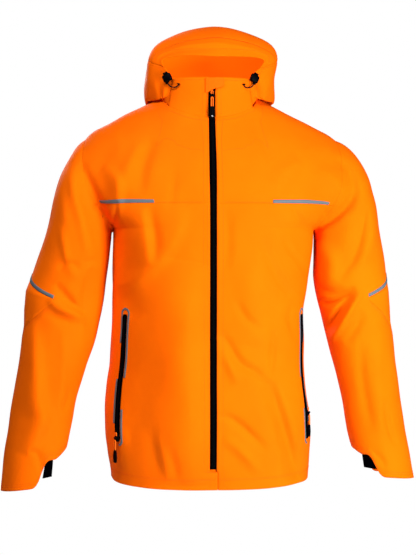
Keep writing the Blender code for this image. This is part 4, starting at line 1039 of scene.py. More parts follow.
# The back's folds: height, widths to both sides and line (x, z), all in millimetres
BACK_CREASES = [
    (4, 12, 13, [(258, -128), (252, -170), (243, -215), (232, -262), (226, -300)]),
    (-4.5, 10, 10, [(240, -118), (224, -158), (206, -195), (192, -236)]),
    (5, 12, 11, [(-262, -132), (-257, -178), (-247, -226), (-238, -275)]),
    (-4, 10, 9, [(-244, -126), (-226, -160), (-208, -200), (-190, -238)]),
    (-5, 9, 8, [(236, -352), (254, -372), (276, -384), (300, -380)]),
    (4.5, 9, 9, [(228, -382), (252, -398), (280, -404), (306, -398)]),
    (-4.5, 8, 9, [(-240, -360), (-262, -376), (-288, -372), (-308, -362)]),
    (4, 9, 10, [(-236, -392), (-260, -404), (-290, -400)]),
    (4, 15, 13, [(338, -420), (342, -500), (340, -580), (352, -660)]),
    (3.5, 14, 14, [(-330, -430), (-336, -510), (-334, -600), (-346, -660)]),
    (-5, 18, 22, [(128, -140), (108, -210), (96, -300), (104, -380)]),
    (-5.5, 20, 18, [(-134, -150), (-112, -230), (-100, -310), (-112, -400)]),
    (5, 22, 20, [(70, -170), (52, -280), (46, -400), (58, -520)]),
    (4.5, 24, 20, [(-64, -160), (-50, -270), (-60, -390), (-48, -500)]),
    (-3.5, 20, 18, [(4, -220), (-6, -340), (2, -460), (-8, -600)]),
    (6, 34, 28, [(112, -440), (120, -540), (116, -660), (124, -740)]),
    (5.5, 30, 32, [(-118, -430), (-110, -540), (-122, -660), (-114, -740)]),
    (-3, 12, 11, [(70, -520), (84, -580), (100, -640), (106, -710)]),
    (-3, 11, 12, [(-40, -500), (-56, -570), (-60, -650)]),
    (-2, 9, 9, [(30, -70), (20, -110), (24, -150)]),
    (2.5, 16, 14, [(-90, -60), (-60, -90), (0, -102), (60, -92), (88, -64)]),
]
# Places the folds keep clear of: (x, z) of the pulls' hinges, rounded, and a distance
STILL = [(-0.1823, -0.634, 0.026), (0.1898, -0.5895, 0.026), (0.0, 0.013, 0.04)]
RIPPLE = 0.0009


def from_line(points, line):
    """Distance of each flat point from a line, its side, and its share of the way along it."""
    nearest = np.full(points.shape[:-1], np.inf)
    side = np.zeros(points.shape[:-1])
    along = np.zeros(points.shape[:-1])
    run = 0.0
    for a, b in zip(line, line[1:]):
        step = b - a
        length = math.hypot(*step)
        share = np.clip(((points - a) @ step) / length**2, 0, 1)
        gap = points - a - share[..., None] * step
        distance = np.hypot(gap[..., 0], gap[..., 1])
        closer = distance < nearest
        nearest = np.where(closer, distance, nearest)
        side = np.where(closer, step[0] * gap[..., 1] - step[1] * gap[..., 0], side)
        along = np.where(closer, run + share * length, along)
        run += length
    return nearest, side, along / run


def creased(spots, creases, unit):
    """Height of all creases at spots, which are in units of so many metres."""
    height = np.zeros(spots.shape[:-1])
    for amount, left, right, line in creases:
        line = np.array(line, dtype=float)
        stops = np.linspace(0, len(line) - 1, 4 * len(line))
        line = np.stack([through(range(len(line)), line[:, k], stops) for k in (0, 1)], axis=-1)
        distance, side, along = from_line(spots, line)
        width = np.where(side < 0, left, right) * 0.001
        ends = np.sin(math.pi * np.clip(along, 0.0, 1.0)) ** 0.6
        height += amount * 0.001 * np.exp(-((distance * unit / width) ** 2)) * ends
    return height


def in_photo(points):
    """Where the camera sees points, in photo pixels across and up, and metres to a pixel there."""
    x, y, z = np.moveaxis(points, -1, 0)
    unit = (CAMERA_AWAY + x * math.sin(YAW) + y * math.cos(YAW)) / PIXELS_AT_1_M
    across = PHOTO_MIDDLE_PX[0] + (x * math.cos(YAW) - y * math.sin(YAW)) / unit
    up = (z - CAMERA_Z) / unit - PHOTO_MIDDLE_PX[1]
    return np.stack([across, up], axis=-1), unit


def ripple(points):
    """A low uneven waviness of loose cloth."""
    chance = np.random.default_rng(11)
    height = np.zeros(points.shape[:-1])
    for _ in range(14):
        wave = chance.normal(size=3)
        wave = wave / np.linalg.norm(wave) * 2 * math.pi / chance.uniform(0.05, 0.16)
        height += np.sin(points @ wave + chance.uniform(0, 6.28)) / 14**0.5
    return height * RIPPLE


def stillness(points):
    """Nought where no fold may be, one away from those places."""
    share = np.ones(points.shape[:-1])
    for x, z, reach in STILL:
        distance = np.hypot(points[..., 0] - x, points[..., 2] - z)
        share *= np.clip((distance - reach * 0.3) / (reach * 0.7), 0, 1)
    return np.clip(share, 0, 1)


def folds(cloth):
    """Moves of the points of a cloth in its folds: to the front and to the back."""
    points, normals = cloth.points, cloth.normals
    front = np.clip(-normals[..., 1] / 0.45, 0, 1)
    front = front * front * (3 - 2 * front)
    back = np.clip(normals[..., 1] / 0.45, 0, 1)
    back = back * back * (3 - 2 * back)
    still = stillness(points)
    ahead = np.array((0.0, -1.0, 0.0))
    traced = []
    for part, in_part in FRONT_FOLDS.items():
        for fold in in_part:
            upright = [(across, -down) for across, down in fold.line_px]
            traced.append((fold.height * STRENGTH[part], fold.left, fold.right, upright))
    spots, unit = in_photo(points)
    to_front = (front * creased(spots, traced, unit) * still)[..., None]
    to_front = to_front * (normals + ahead) / 2
    to_back = (back * creased(points[..., (0, 2)] * 1000, BACK_CREASES, 0.001) * still)[..., None]
    to_back = to_back * (normals - ahead) / 2
    return to_front + to_back + normals * (ripple(points) * still)[..., None]


def onto_line(points, line):
    """Nearest points on a line of points."""
    best = np.full(len(points), np.inf)
    found = points.copy()
    for a, b in zip(line, line[1:]):
        step = b - a
        share = np.clip(((points - a) @ step) / max(step @ step, 1e-12), 0, 1)
        spot = a + share[:, None] * step
        distance = np.linalg.norm(points - spot, axis=-1)
        closer = distance < best
        best = np.where(closer, distance, best)
        found[closer] = spot[closer]
    return found


def meet(cloth, lines_of_points, reach=0.016):
    """Draws the first row of a cloth onto a neighbour's edge, and what is near it along."""
    targets = [onto_line(cloth.points[0], line) for line in lines_of_points]
    gaps = np.array([np.linalg.norm(t - cloth.points[0], axis=-1) for t in targets])
    target = np.array(targets)[gaps.argmin(axis=0), np.arange(cloth.points.shape[1])]
    shift = target - cloth.points[0]
    shift *= np.clip(0.008 - np.linalg.norm(shift, axis=-1, keepdims=True), 0, 0.004) / 0.004
    far = np.linalg.norm(cloth.points - cloth.points[:1], axis=-1, keepdims=True)
    cloth.move(shift[None] * np.clip(1 - far / reach, 0, 1))


class Join:
    """A seam between two cloths whose crease is rounded out."""

    def __init__(self, seam, cloths_a, cloths_b, reach):
        self.seam, self.reach = seam, reach
        bend = self.away(cloths_a) + self.away(cloths_b)
        for _ in range(6):
            bend[1:-1] = (bend[:-2] + bend[1:-1] + bend[2:]) / 3
        self.bend = bend * reach[:, None] / 4

    def away(self, cloths):
        """Direction from each point of the seam into the cloths on one side."""
        points = np.concatenate([cloth.points.reshape(-1, 3) for cloth in cloths])
        found = []
        for spot in self.seam:
            gap = points - spot
            distance = np.linalg.norm(gap, axis=-1)
            ring = gap[(distance > 0.007) & (distance < 0.016)].mean(axis=0)
            found.append(ring / np.linalg.norm(ring))
        return np.array(found)

    def round_out(self, cloth):
        points = cloth.points.reshape(-1, 3)
        move = np.zeros_like(points)
        for first in range(0, len(points), 4000):
            part = points[first : first + 4000]
            distance = np.linalg.norm(part[:, None] - self.seam[None], axis=-1)
            gap = distance.min(axis=1)
            weight = np.exp((gap[:, None] - distance) / 0.006)
            weight /= weight.sum(axis=1, keepdims=True)
            share = np.clip(1 - gap / (weight @ self.reach), 0, 1) ** 2
            move[first : first + 4000] = (weight @ self.bend) * share[:, None]
        cloth.move(move.reshape(cloth.points.shape))


# ------------------------------------------------------------------------- torso

# Usual gap of the cloths' grids, and how far a cloth sinks at the zip and at the yoke seam
STEP = 0.0045
ZIP_ROLL = 0.0009
YOKE_ROLL = 0.0004
SIDES = ((-1, "left", SLEEVE_LEFT), (1, "right", SLEEVE_RIGHT))


def torso_cloth(side, face, first, last, roll):
    """A quarter of the torso between two rows."""

    def form(column, row):
        return torso_panel(side, face, column, row)

    whole = np.arange(COLUMNS + 1.0)
    rows = np.arange(first, last + 1.0)
    wide = torso_panel(1, face, *np.meshgrid(whole, [min(last, LOWER_CELLS) * 1.0]))[0]
    tall = torso_panel(1, face, *np.meshgrid([5.0], rows))[:, 0]
    columns = lines(spread(whole, wide), STEP, edges=(0, COLUMNS))
    fine_rows = lines(spread(rows, tall), STEP, edges=(first, SEAM_ROW))
    made = Cloth(columns, fine_rows, form, outward=axis_of_torso)
    made.roll = roll
    return made


fronts = {}
backs = {}
for side, name, _ in SIDES:
    lower = torso_cloth(side, -1, 0, SEAM_ROW, {"left": ZIP_ROLL, "top": YOKE_ROLL})
    yoke = torso_cloth(side, -1, SEAM_ROW, TOP_ROW, {"left": ZIP_ROLL, "bottom": YOKE_ROLL})
    fronts[name] = (lower, yoke)
    backs[name] = torso_cloth(side, 1, 0, TOP_ROW, {})

# ------------------------------------------------------------------------ sleeves

# How far from the armhole seam its crease is rounded out: at the armpit, and more above it
ARMHOLE_ROUND_LOW = 0.010
ARMHOLE_ROUND_MORE = 0.044
sleeves = {}
for side, name, rows_of in SIDES:

    def form(column, cell):
        angle = column * 2 * math.pi / AROUND
        return sleeve_form(side, rows_of, angle, sleeve_row(angle, cell, name))

    def middle(points):
        return np.broadcast_to(points.mean(axis=1, keepdims=True), points.shape)

    around = np.arange(-ELBOW_REACH, AROUND - ELBOW_REACH + 1.0)
    cells = np.arange(SLEEVE_CELLS + 1.0)
    wide = form(*np.meshgrid(around, [5.0]))[0]
    tall = form(*np.meshgrid([6.0], cells))[:, 0]
    columns = lines(spread(around, wide), STEP, edges=(-ELBOW_REACH, ELBOW_REACH))[:-1]
    seam_cells = (0, UPPER_SLEEVE_CELLS, UPPER_SLEEVE_CELLS + ELBOW_CELLS)
    fine_cells = lines(spread(cells, tall), STEP, edges=seam_cells)
    cloth = Cloth(columns, fine_cells, form, wrapped=AROUND, outward=middle)
    cloth.roll = {}
    sleeves[name] = cloth

    seam = armhole(side, np.linspace(0, 2 * math.pi, 360, endpoint=False))
    # Both go from nought to one: level above the armpit, crest towards the shoulder
    level = np.clip((seam[:, 2] - seam[:, 2].min() - 0.03) / 0.05, 0, 1)
    crest = np.clip((seam[:, 2] - seam[:, 2].max() + 0.05) / 0.04, 0, 1)
    rounding = ARMHOLE_ROUND_LOW + ARMHOLE_ROUND_MORE * level * (1 - 0.5 * crest)
    join = Join(seam, [*fronts[name], backs[name]], [cloth], rounding)
    for part in (*fronts[name], backs[name], cloth):
        join.round_out(part)

# ------------------------------------------------------------------------- collar


def from_neck(points):
    """The point of the neck's axis level with each point."""
    centre = points.copy()
    centre[..., :2] = (0.0, 0.0)
    return centre


# Where the collar ends in degrees from the front, how far the neck seam's crease is rounded out
COLLAR_EDGE = 59.2
NECK_ROUND = 0.045
collars = {}
for side, name, _ in SIDES:
    start = math.degrees(math.asin(ZIP_HALF / NECK_HALF))

    def form(angle, rise):
        return collar(np.radians(angle) * side, rise)

    columns = np.linspace(start, COLLAR_EDGE, 26)
    cloth = Cloth(columns, np.linspace(0, 1, 18), form, outward=from_neck)
    cloth.roll = {"left": ZIP_ROLL}
    collars[name] = cloth

    seam = neck(np.radians(np.linspace(start, COLLAR_EDGE, 160)) * side)
    join = Join(seam, fronts[name], [cloth], np.full(len(seam), NECK_ROUND))
    join.bend *= np.clip((np.abs(seam[:, :1]) - 0.012) / 0.035, 0, 1)
    join.round_out(cloth)
    join.round_out(fronts[name][1])

for side, name, _ in SIDES:
    for part in (*fronts[name], backs[name], sleeves[name]):
        part.move(folds(part))
        part.fold(seam_roll(part, **part.roll))
    collars[name].fold(seam_roll(collars[name], **collars[name].roll))
    lower, yoke = fronts[name]
    back = backs[name]
    rim = [grid.points[grid.rows >= LOWER_CELLS - 0.001, -1] for grid in (lower, yoke, back)]
    meet(sleeves[name], rim)
    meet(collars[name], [yoke.points[-1]])
    lower.tuck(-1)
    sleeves[name].tuck(0)
    collars[name].tuck(0)
    cloth_piece("lower_" + name, fronts[name][0], SHELL, nodes=["front_lower_" + name])
    cloth_piece("yoke_" + name, fronts[name][1], SHELL, nodes=["front_yoke_" + name])
    cloth_piece("stand_" + name, collars[name], SHELL, nodes=["collar_" + name])

    def in_elbow(column, cell):
        inside = (cell > UPPER_SLEEVE_CELLS) & (cell < UPPER_SLEEVE_CELLS + ELBOW_CELLS)
        return inside & (np.abs(column) < ELBOW_REACH)

    def off_elbow(column, cell):
        return ~in_elbow(column, cell)

    sleeve = sleeves[name]
    cloth_piece("arm_" + name, sleeve, SHELL, skip=in_elbow, nodes=["sleeve_" + name])
    cloth_piece("elbow_patch_" + name, sleeve, SHELL, skip=off_elbow, nodes=["elbow_" + name])

# ---------------------------------------------------------------------- cuff tabs

# Near and far edge of the tabs in degrees round the cuff, counted from its turn, and how far the far
# edge runs on
TAB_START = {"left": 113, "right": 108}
TAB_FAR = {"left": 128, "right": 132}
TAB_RUNS_ON = {"left": 6, "right": 10}
TAB_TOP_ROW = 0.20
TAB_LOW_ROW = 0.78
TAB_THICK = 0.0018
for side, name, rows_of in SIDES:
    around = np.linspace(0, 2 * math.pi, 36, endpoint=False)
    axis = sleeve_form(side, rows_of, around, CUFF_ROW + 0.5).mean(axis=0)

    def form(across, down):
        far = TAB_FAR[name] + TAB_RUNS_ON[name] * down
        angle = np.radians(CUFF_TURN[name] + TAB_START[name] + (far - TAB_START[name]) * across)
        row = CUFF_ROW + TAB_TOP_ROW + (TAB_LOW_ROW - TAB_TOP_ROW) * down
        return sleeve_form(side, rows_of, angle, row)

    def inside(points):
        return np.broadcast_to(axis, points.shape)

    tab = Cloth(np.linspace(0, 1, 9), np.linspace(0, 1, 9), form, outward=inside)
    tab.fold(np.full(tab.points.shape[:2], -(WALL + 2 * LIE)))
    made = cloth_piece("tab_" + name, tab, BLACK_TAPE, thick=TAB_THICK)
    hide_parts("cuff_tab_" + name)

# ------------------------------------------------------------------ back and hood

# The two halves of the back become one panel
joined = backs["left"]
other = backs["right"]
joined.points = np.concatenate([joined.points[:, ::-1], other.points[:, 1:]], axis=1)
joined.flat = np.concatenate([joined.flat[:, ::-1], other.flat[:, 1:]], axis=1)
joined.normals = np.concatenate([joined.normals[:, ::-1], other.normals[:, 1:]], axis=1)
joined.columns = np.concatenate([-joined.columns[::-1], other.columns[1:]])
joined.turned = other.turned
cloth_piece("back_panel", joined, SHELL, nodes=["back"])


def hood_form(across, row):
    """The hood's points over a grid of its lines and rows."""
    return hood(across[0], row[:, 0])


HOOD_MIDDLE = (0.0, 0.03, 0.03)


def hood_middle(points):
    """The middle of the hood, for each point."""
    return np.broadcast_to(np.array(HOOD_MIDDLE), points.shape)


# How far the hood's sides run under its centre (lines, metres), and metres to a line and a row
HOOD_UNDER = 0.07
HOOD_UNDER_DEPTH = 0.0018
HOOD_LINE = 0.055
HOOD_ROW = 0.060
# (height, width, [(across, row), ...]) in millimetres and in the hood's own lines
HOOD_CREASES = [
    (2.2, 7, [(3.9, 0.55), (4.6, 0.62), (5.4, 0.60), (6.1, 0.52)]),
    (-2.0, 6, [(3.7, 0.25), (4.4, 0.36), (5.2, 0.34)]),
    (-3.0, 8, [(3.2, 0.25), (2.6, 0.60), (1.9, 0.80), (1.2, 0.85)]),
    (2.6, 8, [(2.9, 0.10), (2.3, 0.40), (1.6, 0.60)]),
    (-2.8, 8, [(6.9, 0.25), (7.5, 0.60), (8.2, 0.85), (8.8, 0.85)]),
    (2.4, 8, [(7.1, 0.05), (7.8, 0.35), (8.5, 0.55)]),
    (-3.0, 9, [(0.5, 1.6), (1.4, 1.9), (2.3, 1.8)]),
    (-3.2, 9, [(9.5, 1.5), (8.6, 1.8), (7.7, 1.9)]),
    (3.0, 10, [(0.7, 2.8), (1.7, 2.6), (2.7, 2.9)]),
    (3.0, 10, [(9.4, 2.6), (8.4, 2.8), (7.2, 2.6)]),
    (-6.5, 9, [(4.1, 3.9), (4.5, 4.6), (4.3, 5.4)]),
    (-6.5, 8, [(5.9, 3.8), (5.6, 4.7), (5.9, 5.5)]),
    (5.0, 10, [(5.0, 3.6), (5.1, 4.6), (4.9, 5.6)]),
    (-2.6, 9, [(1.0, 4.4), (2.0, 4.1), (3.2, 4.4)]),
    (-2.8, 9, [(9.0, 4.2), (8.0, 4.5), (6.9, 4.2)]),
]


def hood_folds(cloth):
    """Moves of a hood piece in its folds, and a low waviness."""
    column, row = np.meshgrid(cloth.columns, cloth.rows)
    spots = np.stack([column * HOOD_LINE, row * HOOD_ROW], axis=-1)
    height = ripple(cloth.points) * 1.2
    for amount, width, line in HOOD_CREASES:
        line = np.array(line) * (HOOD_LINE, HOOD_ROW)
        distance, _, along = from_line(spots, line)
        ends = np.sin(math.pi * along) ** 0.6
        height += amount * 0.001 * np.exp(-((distance / (width * 0.001)) ** 2)) * ends
    return cloth.normals * height[..., None]


def hood_cloth(first, last, top, bottom, roll):
    """A hood piece between two lines and two rows."""
    columns = np.linspace(first, last, round((last - first) * 10) + 1)
    if first == 0.0:
        columns = np.append(columns, last + HOOD_UNDER)
    if last == HOOD_SPAN:
        columns = np.insert(columns, 0, first - HOOD_UNDER)
    rows = np.linspace(top, bottom, round((bottom - top) * 14) + 1)
    made = Cloth(columns, rows, hood_form, outward=hood_middle)
    made.move(hood_folds(made))
    beyond = (made.columns < first - 1e-6) | (made.columns > last + 1e-6)
    made.fold(seam_roll(made, **roll, reach=0.006) - HOOD_UNDER_DEPTH * beyond)
    return made


FAR_SEAM = HOOD_SPAN - HOOD_SEAM
CENTER_ROLL = {"left": 0.0006, "right": 0.0006, "bottom": 0.001}
hoods = {
    "visor": hood_cloth(HOOD_SEAM, FAR_SEAM, 0, 1, {"top": 0.001}),
    "center": hood_cloth(HOOD_SEAM, FAR_SEAM, 1, HOOD_END, CENTER_ROLL),
    "side_left": hood_cloth(0.0, HOOD_SEAM, 0, HOOD_END, {}),
    "side_right": hood_cloth(FAR_SEAM, HOOD_SPAN, 0, HOOD_END, {}),
}
meet(hoods["center"], [hoods["visor"].points[-1]])
hoods["center"].tuck(0)
for part, cloth in hoods.items():
    cloth_piece("hood_cloth_" + part, cloth, SHELL, nodes=["hood_" + part])

# ----------------------------------------------------------------- bands and zips


def laid(name, cloth, at, out, thick, material, nodes=(), slot="reflective"):
    """A thin band on a cloth, at grids of its column and row numbers."""
    points = cloth.at(*at, out)
    high, wide = points.shape[:2]
    faces = grid_faces(high, wide)
    across = points[:, -1] - points[:, 0]
    up = np.gradient(points[:, wide // 2], axis=0)
    facing = cloth.at(*at, out + 0.001)[:, wide // 2] - points[:, wide // 2]
    if np.sum(np.cross(across, up) * facing) < 0:
        faces = faces[..., ::-1]
    u = np.linalg.norm(np.diff(points, axis=1), axis=-1).mean(axis=0)
    v = np.linalg.norm(np.diff(points, axis=0), axis=-1).mean(axis=1)
    metres = np.stack(np.meshgrid(np.append(0, np.cumsum(u)), np.append(0, np.cumsum(v))), axis=-1)
    made = mesh_piece(name, points.reshape(-1, 3), faces.reshape(-1, 4), material, metres.reshape(-1, 2))
    thicken(made, thick)
    if nodes:
        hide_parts(*nodes)
    return made


# How far the outer faces of the bands stand out of the cloth, and their thickness
CHEST_STRIP = (0.0011, 0.0008)
ELBOW_STRIP = (0.0009, 0.0008)
POCKET_FRAME = (0.0009, 0.0007)
POCKET_TAPE = (0.0011, 0.0009)
# First and last columns and rows of the reflective strips on the yokes and the sleeves
CHEST_COLUMNS = (3.3, 9.1)
CHEST_ROWS = (SEAM_ROW + 0.04, SEAM_ROW + 0.26)
ELBOW_COLUMNS = (-3.0, 5.0)
ELBOW_ROWS = (5.86, 5.985)
for _, name, _ in SIDES:
    yoke = fronts[name][1]
    at = np.meshgrid(np.linspace(*CHEST_COLUMNS, 90), np.linspace(*CHEST_ROWS, 4))
    laid("chest_strip_" + name, yoke, at, *CHEST_STRIP, REFLECTIVE, ["chest_tape_" + name])
    at = np.meshgrid(np.linspace(*ELBOW_COLUMNS, 70), np.linspace(*ELBOW_ROWS, 4))
    laid("elbow_strip_" + name, sleeves[name], at, *ELBOW_STRIP, REFLECTIVE, ["elbow_tape_" + name])

# Column of each pocket's middle, its ends, and the reflective frame's half span, width and inset
POCKETS = {"left": 6.60, "right": 7.55}
POCKET_TOP_Z = -0.398
POCKET_LOW_Z = -0.640
FRAME_HALF = 0.0094
FRAME_WIDE = 0.0040
FRAME_INSET = 0.0015
# Where the frame's three dashes end: the first one outside and inside, the second, and the third
DASH_1_OUTER_Z = -0.455
DASH_1_INNER_Z = -0.520
DASH_2_Z = (-0.524, -0.608)
DASH_3_Z = -0.580
# The pocket's zip: half width and ends of its tape, then ends, pitch, size and gap of its teeth
POCKET_TAPE_HALF = 0.0062
POCKET_TAPE_Z = (-0.4005, -0.6400)
POCKET_TEETH_Z = (-0.4035, -0.6300)
POCKET_PITCH = 0.0022
POCKET_TOOTH = (0.0030, 0.0012, 0.0013)
POCKET_TOOTH_GAP = 0.0009


def beside(cloth, column, u, z):
    """Line numbers of the points u metres across and z high beside a pocket's column."""
    rows = np.linspace(0, SEAM_ROW, 160)
    heights = cloth.at(column, rows)[:, 2]
    row = np.interp(z, heights, rows)
    wide = np.linalg.norm(cloth.at(column + 0.3, 6.0) - cloth.at(column - 0.3, 6.0)) / 0.6
    return column + np.asarray(u) / wide, row


def frame_dash(path):
    """Grid of u and z of a band along a path of (u, z) in metres."""
    path = np.asarray(path, dtype=float)
    along = normed(np.gradient(path, axis=0))
    cross = np.stack([-along[:, 1], along[:, 0]], axis=-1)
    shares = np.linspace(-0.5, 0.5, 4) * FRAME_WIDE
    return path[:, None] + cross[:, None] * shares[None, :, None]


def straight(u, top, low):
    """An upright stretch of a pocket's frame."""
    return [(u, z) for z in np.linspace(top, low, max(round((top - low) / 0.004), 2))]


def arc(middle_z, start, end):
    """A round stretch at the end of a pocket's frame, between two angles."""
    turns = np.radians(np.linspace(start, end, 14))
    return [(FRAME_HALF * math.cos(t), middle_z + FRAME_HALF * math.sin(t)) for t in turns]


for _, name, _ in SIDES:
    lower = fronts[name][0]
    column = POCKETS[name]
    top = POCKET_TOP_Z - FRAME_INSET
    low = POCKET_LOW_Z + FRAME_INSET
    dashes = [
        straight(FRAME_HALF, top, DASH_1_OUTER_Z)[::-1]
        + arc(top, 8, 172)
        + straight(-FRAME_HALF, top, DASH_1_INNER_Z),
        straight(FRAME_HALF, *DASH_2_Z),
        straight(-FRAME_HALF, DASH_3_Z, low) + arc(low, 188, 262),
    ]
    for number, dash in enumerate(dashes):
        grid = frame_dash(dash)
        at = beside(lower, column, grid[..., 0], grid[..., 1])
        nodes = ["pocket_trim_" + name] if number == 0 else []
        piece = "pocket_frame_%s_%d" % (name, number + 1)
        laid(piece, lower, at, *POCKET_FRAME, REFLECTIVE, nodes)
    across = np.linspace(-POCKET_TAPE_HALF, POCKET_TAPE_HALF, 9)
    u, z = np.meshgrid(across, np.linspace(*POCKET_TAPE_Z, 80))
    ends = np.minimum(np.abs(z - z[0, 0]), np.abs(z - z[-1, 0]))
    u = u * np.sqrt(np.clip(0.35 + ends / 0.006, 0, 1))
    at = beside(lower, column, u, z)
    nodes = ["pocket_zip_" + name]
    laid("pocket_tape_" + name, lower, at, *POCKET_TAPE, BLACK_TAPE, nodes, "black_zip")


def blocks(name, centres, across, up, out, size, material):
    """Small tapered blocks, such as zip teeth: centres with their three directions."""
    wide, tall, deep = size
    corners = []
    for o, share in ((-0.4, 1.0), (0.6, 0.72)):
        for a, b in ((-1, -1), (1, -1), (1, 1), (-1, 1)):
            beside_it = across * a * share * wide / 2 + up * b * share * tall / 2
            corners.append(centres + beside_it + out * o * deep)
    vertices = np.stack(corners, axis=1).reshape(-1, 3)
    faces = []
    for base in range(0, len(vertices), 8):
        faces.append((base + 4, base + 5, base + 6, base + 7))
        faces.append((base + 3, base + 2, base + 1, base))
        for k in range(4):
            n = (k + 1) % 4
            faces.append((base + k, base + n, base + 4 + n, base + 4 + k))
    return mesh_piece(name, vertices, faces, material)


def teeth(name, points, across, out, pitch, size, material, gap):
    """Two rows of teeth along a line, set half a pitch apart."""
    run = run_along(points)
    centres, ways, ups, outs = [], [], [], []
    for hand, shift in ((-1, 0.0), (1, 0.5)):
        stations = np.arange(pitch * (0.5 + shift), run[-1], pitch)
        way = picked(stations, run, across)
        lift = picked(stations, run, out)
        centres.append(picked(stations, run, points) + way * hand * gap)
        ways.append(way)
        outs.append(lift)
        ups.append(np.cross(lift, way))
    stack = [np.concatenate(part) for part in (centres, ways, ups, outs)]
    return blocks(name, *stack, size, material)


for _, name, _ in SIDES:
    lower = fronts[name][0]
    z = np.linspace(*POCKET_TEETH_Z, 90)
    middle = lower.at(*beside(lower, POCKETS[name], 0 * z, z), 0.0014)
    beyond = lower.at(*beside(lower, POCKETS[name], 0 * z + 0.003, z), 0.0014)
    above = lower.at(*beside(lower, POCKETS[name], 0 * z, z), 0.0024)
    way = normed(beyond - middle)
    lift = normed(above - middle)
    row = (middle, way, lift, POCKET_PITCH, POCKET_TOOTH)
    teeth("pocket_teeth_" + name, *row, BLACK_PLASTIC, POCKET_TOOTH_GAP)


# The front zip: stations along it, thickness of its tape and facing, the facing's half width and
# depth, then pitch, size and gap of its teeth
ZIP_STATIONS = 230
ZIP_SHEET = 0.0007
FACING_HALF = 0.012
FACING_BEHIND = 0.0028
FRONT_PITCH = 0.0026
FRONT_TOOTH = (0.0050, 0.0015, 0.0020)
FRONT_TOOTH_GAP = 0.0015


def zip_line():
    """Middle of the front opening from the zip's bottom to its top, with directions."""
    edges = []
    for name in ("left", "right"):
        lower, yoke = fronts[name]
        start = collars[name].columns[0]
        low = lower.row_at(0.0, ZIP_BOTTOM_Z)
        run = [lower.at(0.0, np.linspace(low, SEAM_ROW, 150))]
        run.append(yoke.at(0.0, np.linspace(SEAM_ROW, TOP_ROW - 0.05, 50))[1:])
        run.append(collars[name].at(start, np.linspace(0.03, ZIP_TOP_RISE + 0.10, 30)))
        run = np.concatenate(run)
        length = run_along(run)
        edges.append(picked(np.linspace(0, length[-1], ZIP_STATIONS), length, run))
    middle = (edges[0] + edges[1]) / 2
    across = normed(edges[1] - edges[0])
    for _ in range(4):
        middle[1:-1] = (middle[:-2] + middle[1:-1] * 2 + middle[2:]) / 4
    return middle, across, normed(np.cross(across, np.gradient(middle, axis=0)))


middle, across, out = zip_line()
profile_u = np.array([-13.0, -8.6, -6.6, -6.0, -3.0, 0.0, 3.0, 6.0, 6.6, 8.6, 13.0]) * 0.001
profile_o = np.array([-2.6, -2.5, -1.8, -0.9, -0.7, -0.7, -0.7, -0.9, -1.8, -2.5, -2.6]) * 0.001
tape = middle[:, None] + across[:, None] * profile_u[:, None] + out[:, None] * profile_o[:, None]
faces = grid_faces(*tape.shape[:2])
metres = np.stack(np.meshgrid(profile_u, run_along(middle)), axis=-1).reshape(-1, 2)
zip_tape = mesh_piece("front_tape", tape.reshape(-1, 3), faces.reshape(-1, 4), BLACK_TAPE, metres)
thicken(zip_tape, ZIP_SHEET)
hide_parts("front_zip_tape")


def zip_facing():
    """Strip behind the gap between the fronts below the zip."""
    edges = []
    for name in ("left", "right"):
        lower = fronts[name][0]
        top = lower.row_at(0.0, ZIP_BOTTOM_Z) + 0.12
        edges.append(lower.at(0.0, np.linspace(0.03, top, 24)))
    middle = (edges[0] + edges[1]) / 2
    across = normed(edges[1] - edges[0])
    behind = normed(-np.cross(across, np.gradient(middle, axis=0)))
    shares = np.linspace(-FACING_HALF, FACING_HALF, 7)
    grid = middle[:, None] + across[:, None] * shares[:, None] + behind[:, None] * FACING_BEHIND
    faces = grid_faces(*grid.shape[:2])
    made = mesh_piece("zip_facing", grid.reshape(-1, 3), faces.reshape(-1, 4), SHELL)
    thicken(made, ZIP_SHEET)


zip_facing()
row = (middle, across, out, FRONT_PITCH, FRONT_TOOTH)
chain = teeth("front_teeth", *row, BLACK_PLASTIC, FRONT_TOOTH_GAP)
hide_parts("front_zip_chain")

# ----------------------------------------------------------------------- stitches

# Length and pitch of the stitches, thread radius, how far ahead their direction is read, and how
# far they stand out of the cloth
STITCH = 0.0021
PITCH = 0.0031
THREAD = 0.00028
STITCH_AHEAD = 0.0005
STITCH_OUT = 0.0001
THREAD_SIDES = 5


def stitches(name, runs, material):
    """Short threads along lines of (points, normals) on the cloth."""
    vertices, faces = [], []
    for points, normals in runs:
        length = run_along(points)
        stations = np.arange(PITCH, length[-1] - PITCH, PITCH)
        if len(stations) < 2:
            continue
        spot = picked(stations, length, points)
        way = normed(picked(stations + STITCH_AHEAD, length, points) - spot)
        lift = normed(picked(stations, length, normals))
        side = np.cross(way, lift)
        rings = []
        for share, size in ((-0.5, 0.55), (-0.25, 1.0), (0.25, 1.0), (0.5, 0.55)):
            for k in range(THREAD_SIDES):
                turn = 2 * math.pi * k / THREAD_SIDES
                offset = side * math.cos(turn) + lift * (math.sin(turn) + (0.2 if size == 1.0 else -0.6))
                rings.append(spot + way * STITCH * share + offset * THREAD * size)
        base = sum(len(v) for v in vertices)
        block = np.stack(rings, axis=1).reshape(-1, 3)
        vertices.append(block)
        for n in range(len(stations)):
            start = base + n * THREAD_SIDES * 4
            last = start + THREAD_SIDES * 3
            for ring in range(start, last, THREAD_SIDES):
                for k in range(THREAD_SIDES):
                    a, b = ring + k, ring + (k + 1) % THREAD_SIDES
                    faces.append((a, b, b + THREAD_SIDES, a + THREAD_SIDES))
            faces.append(tuple(start + k for k in range(THREAD_SIDES))[::-1])
            faces.append(tuple(last + k for k in range(THREAD_SIDES)))
    return mesh_piece(name, np.concatenate(vertices), faces, material)


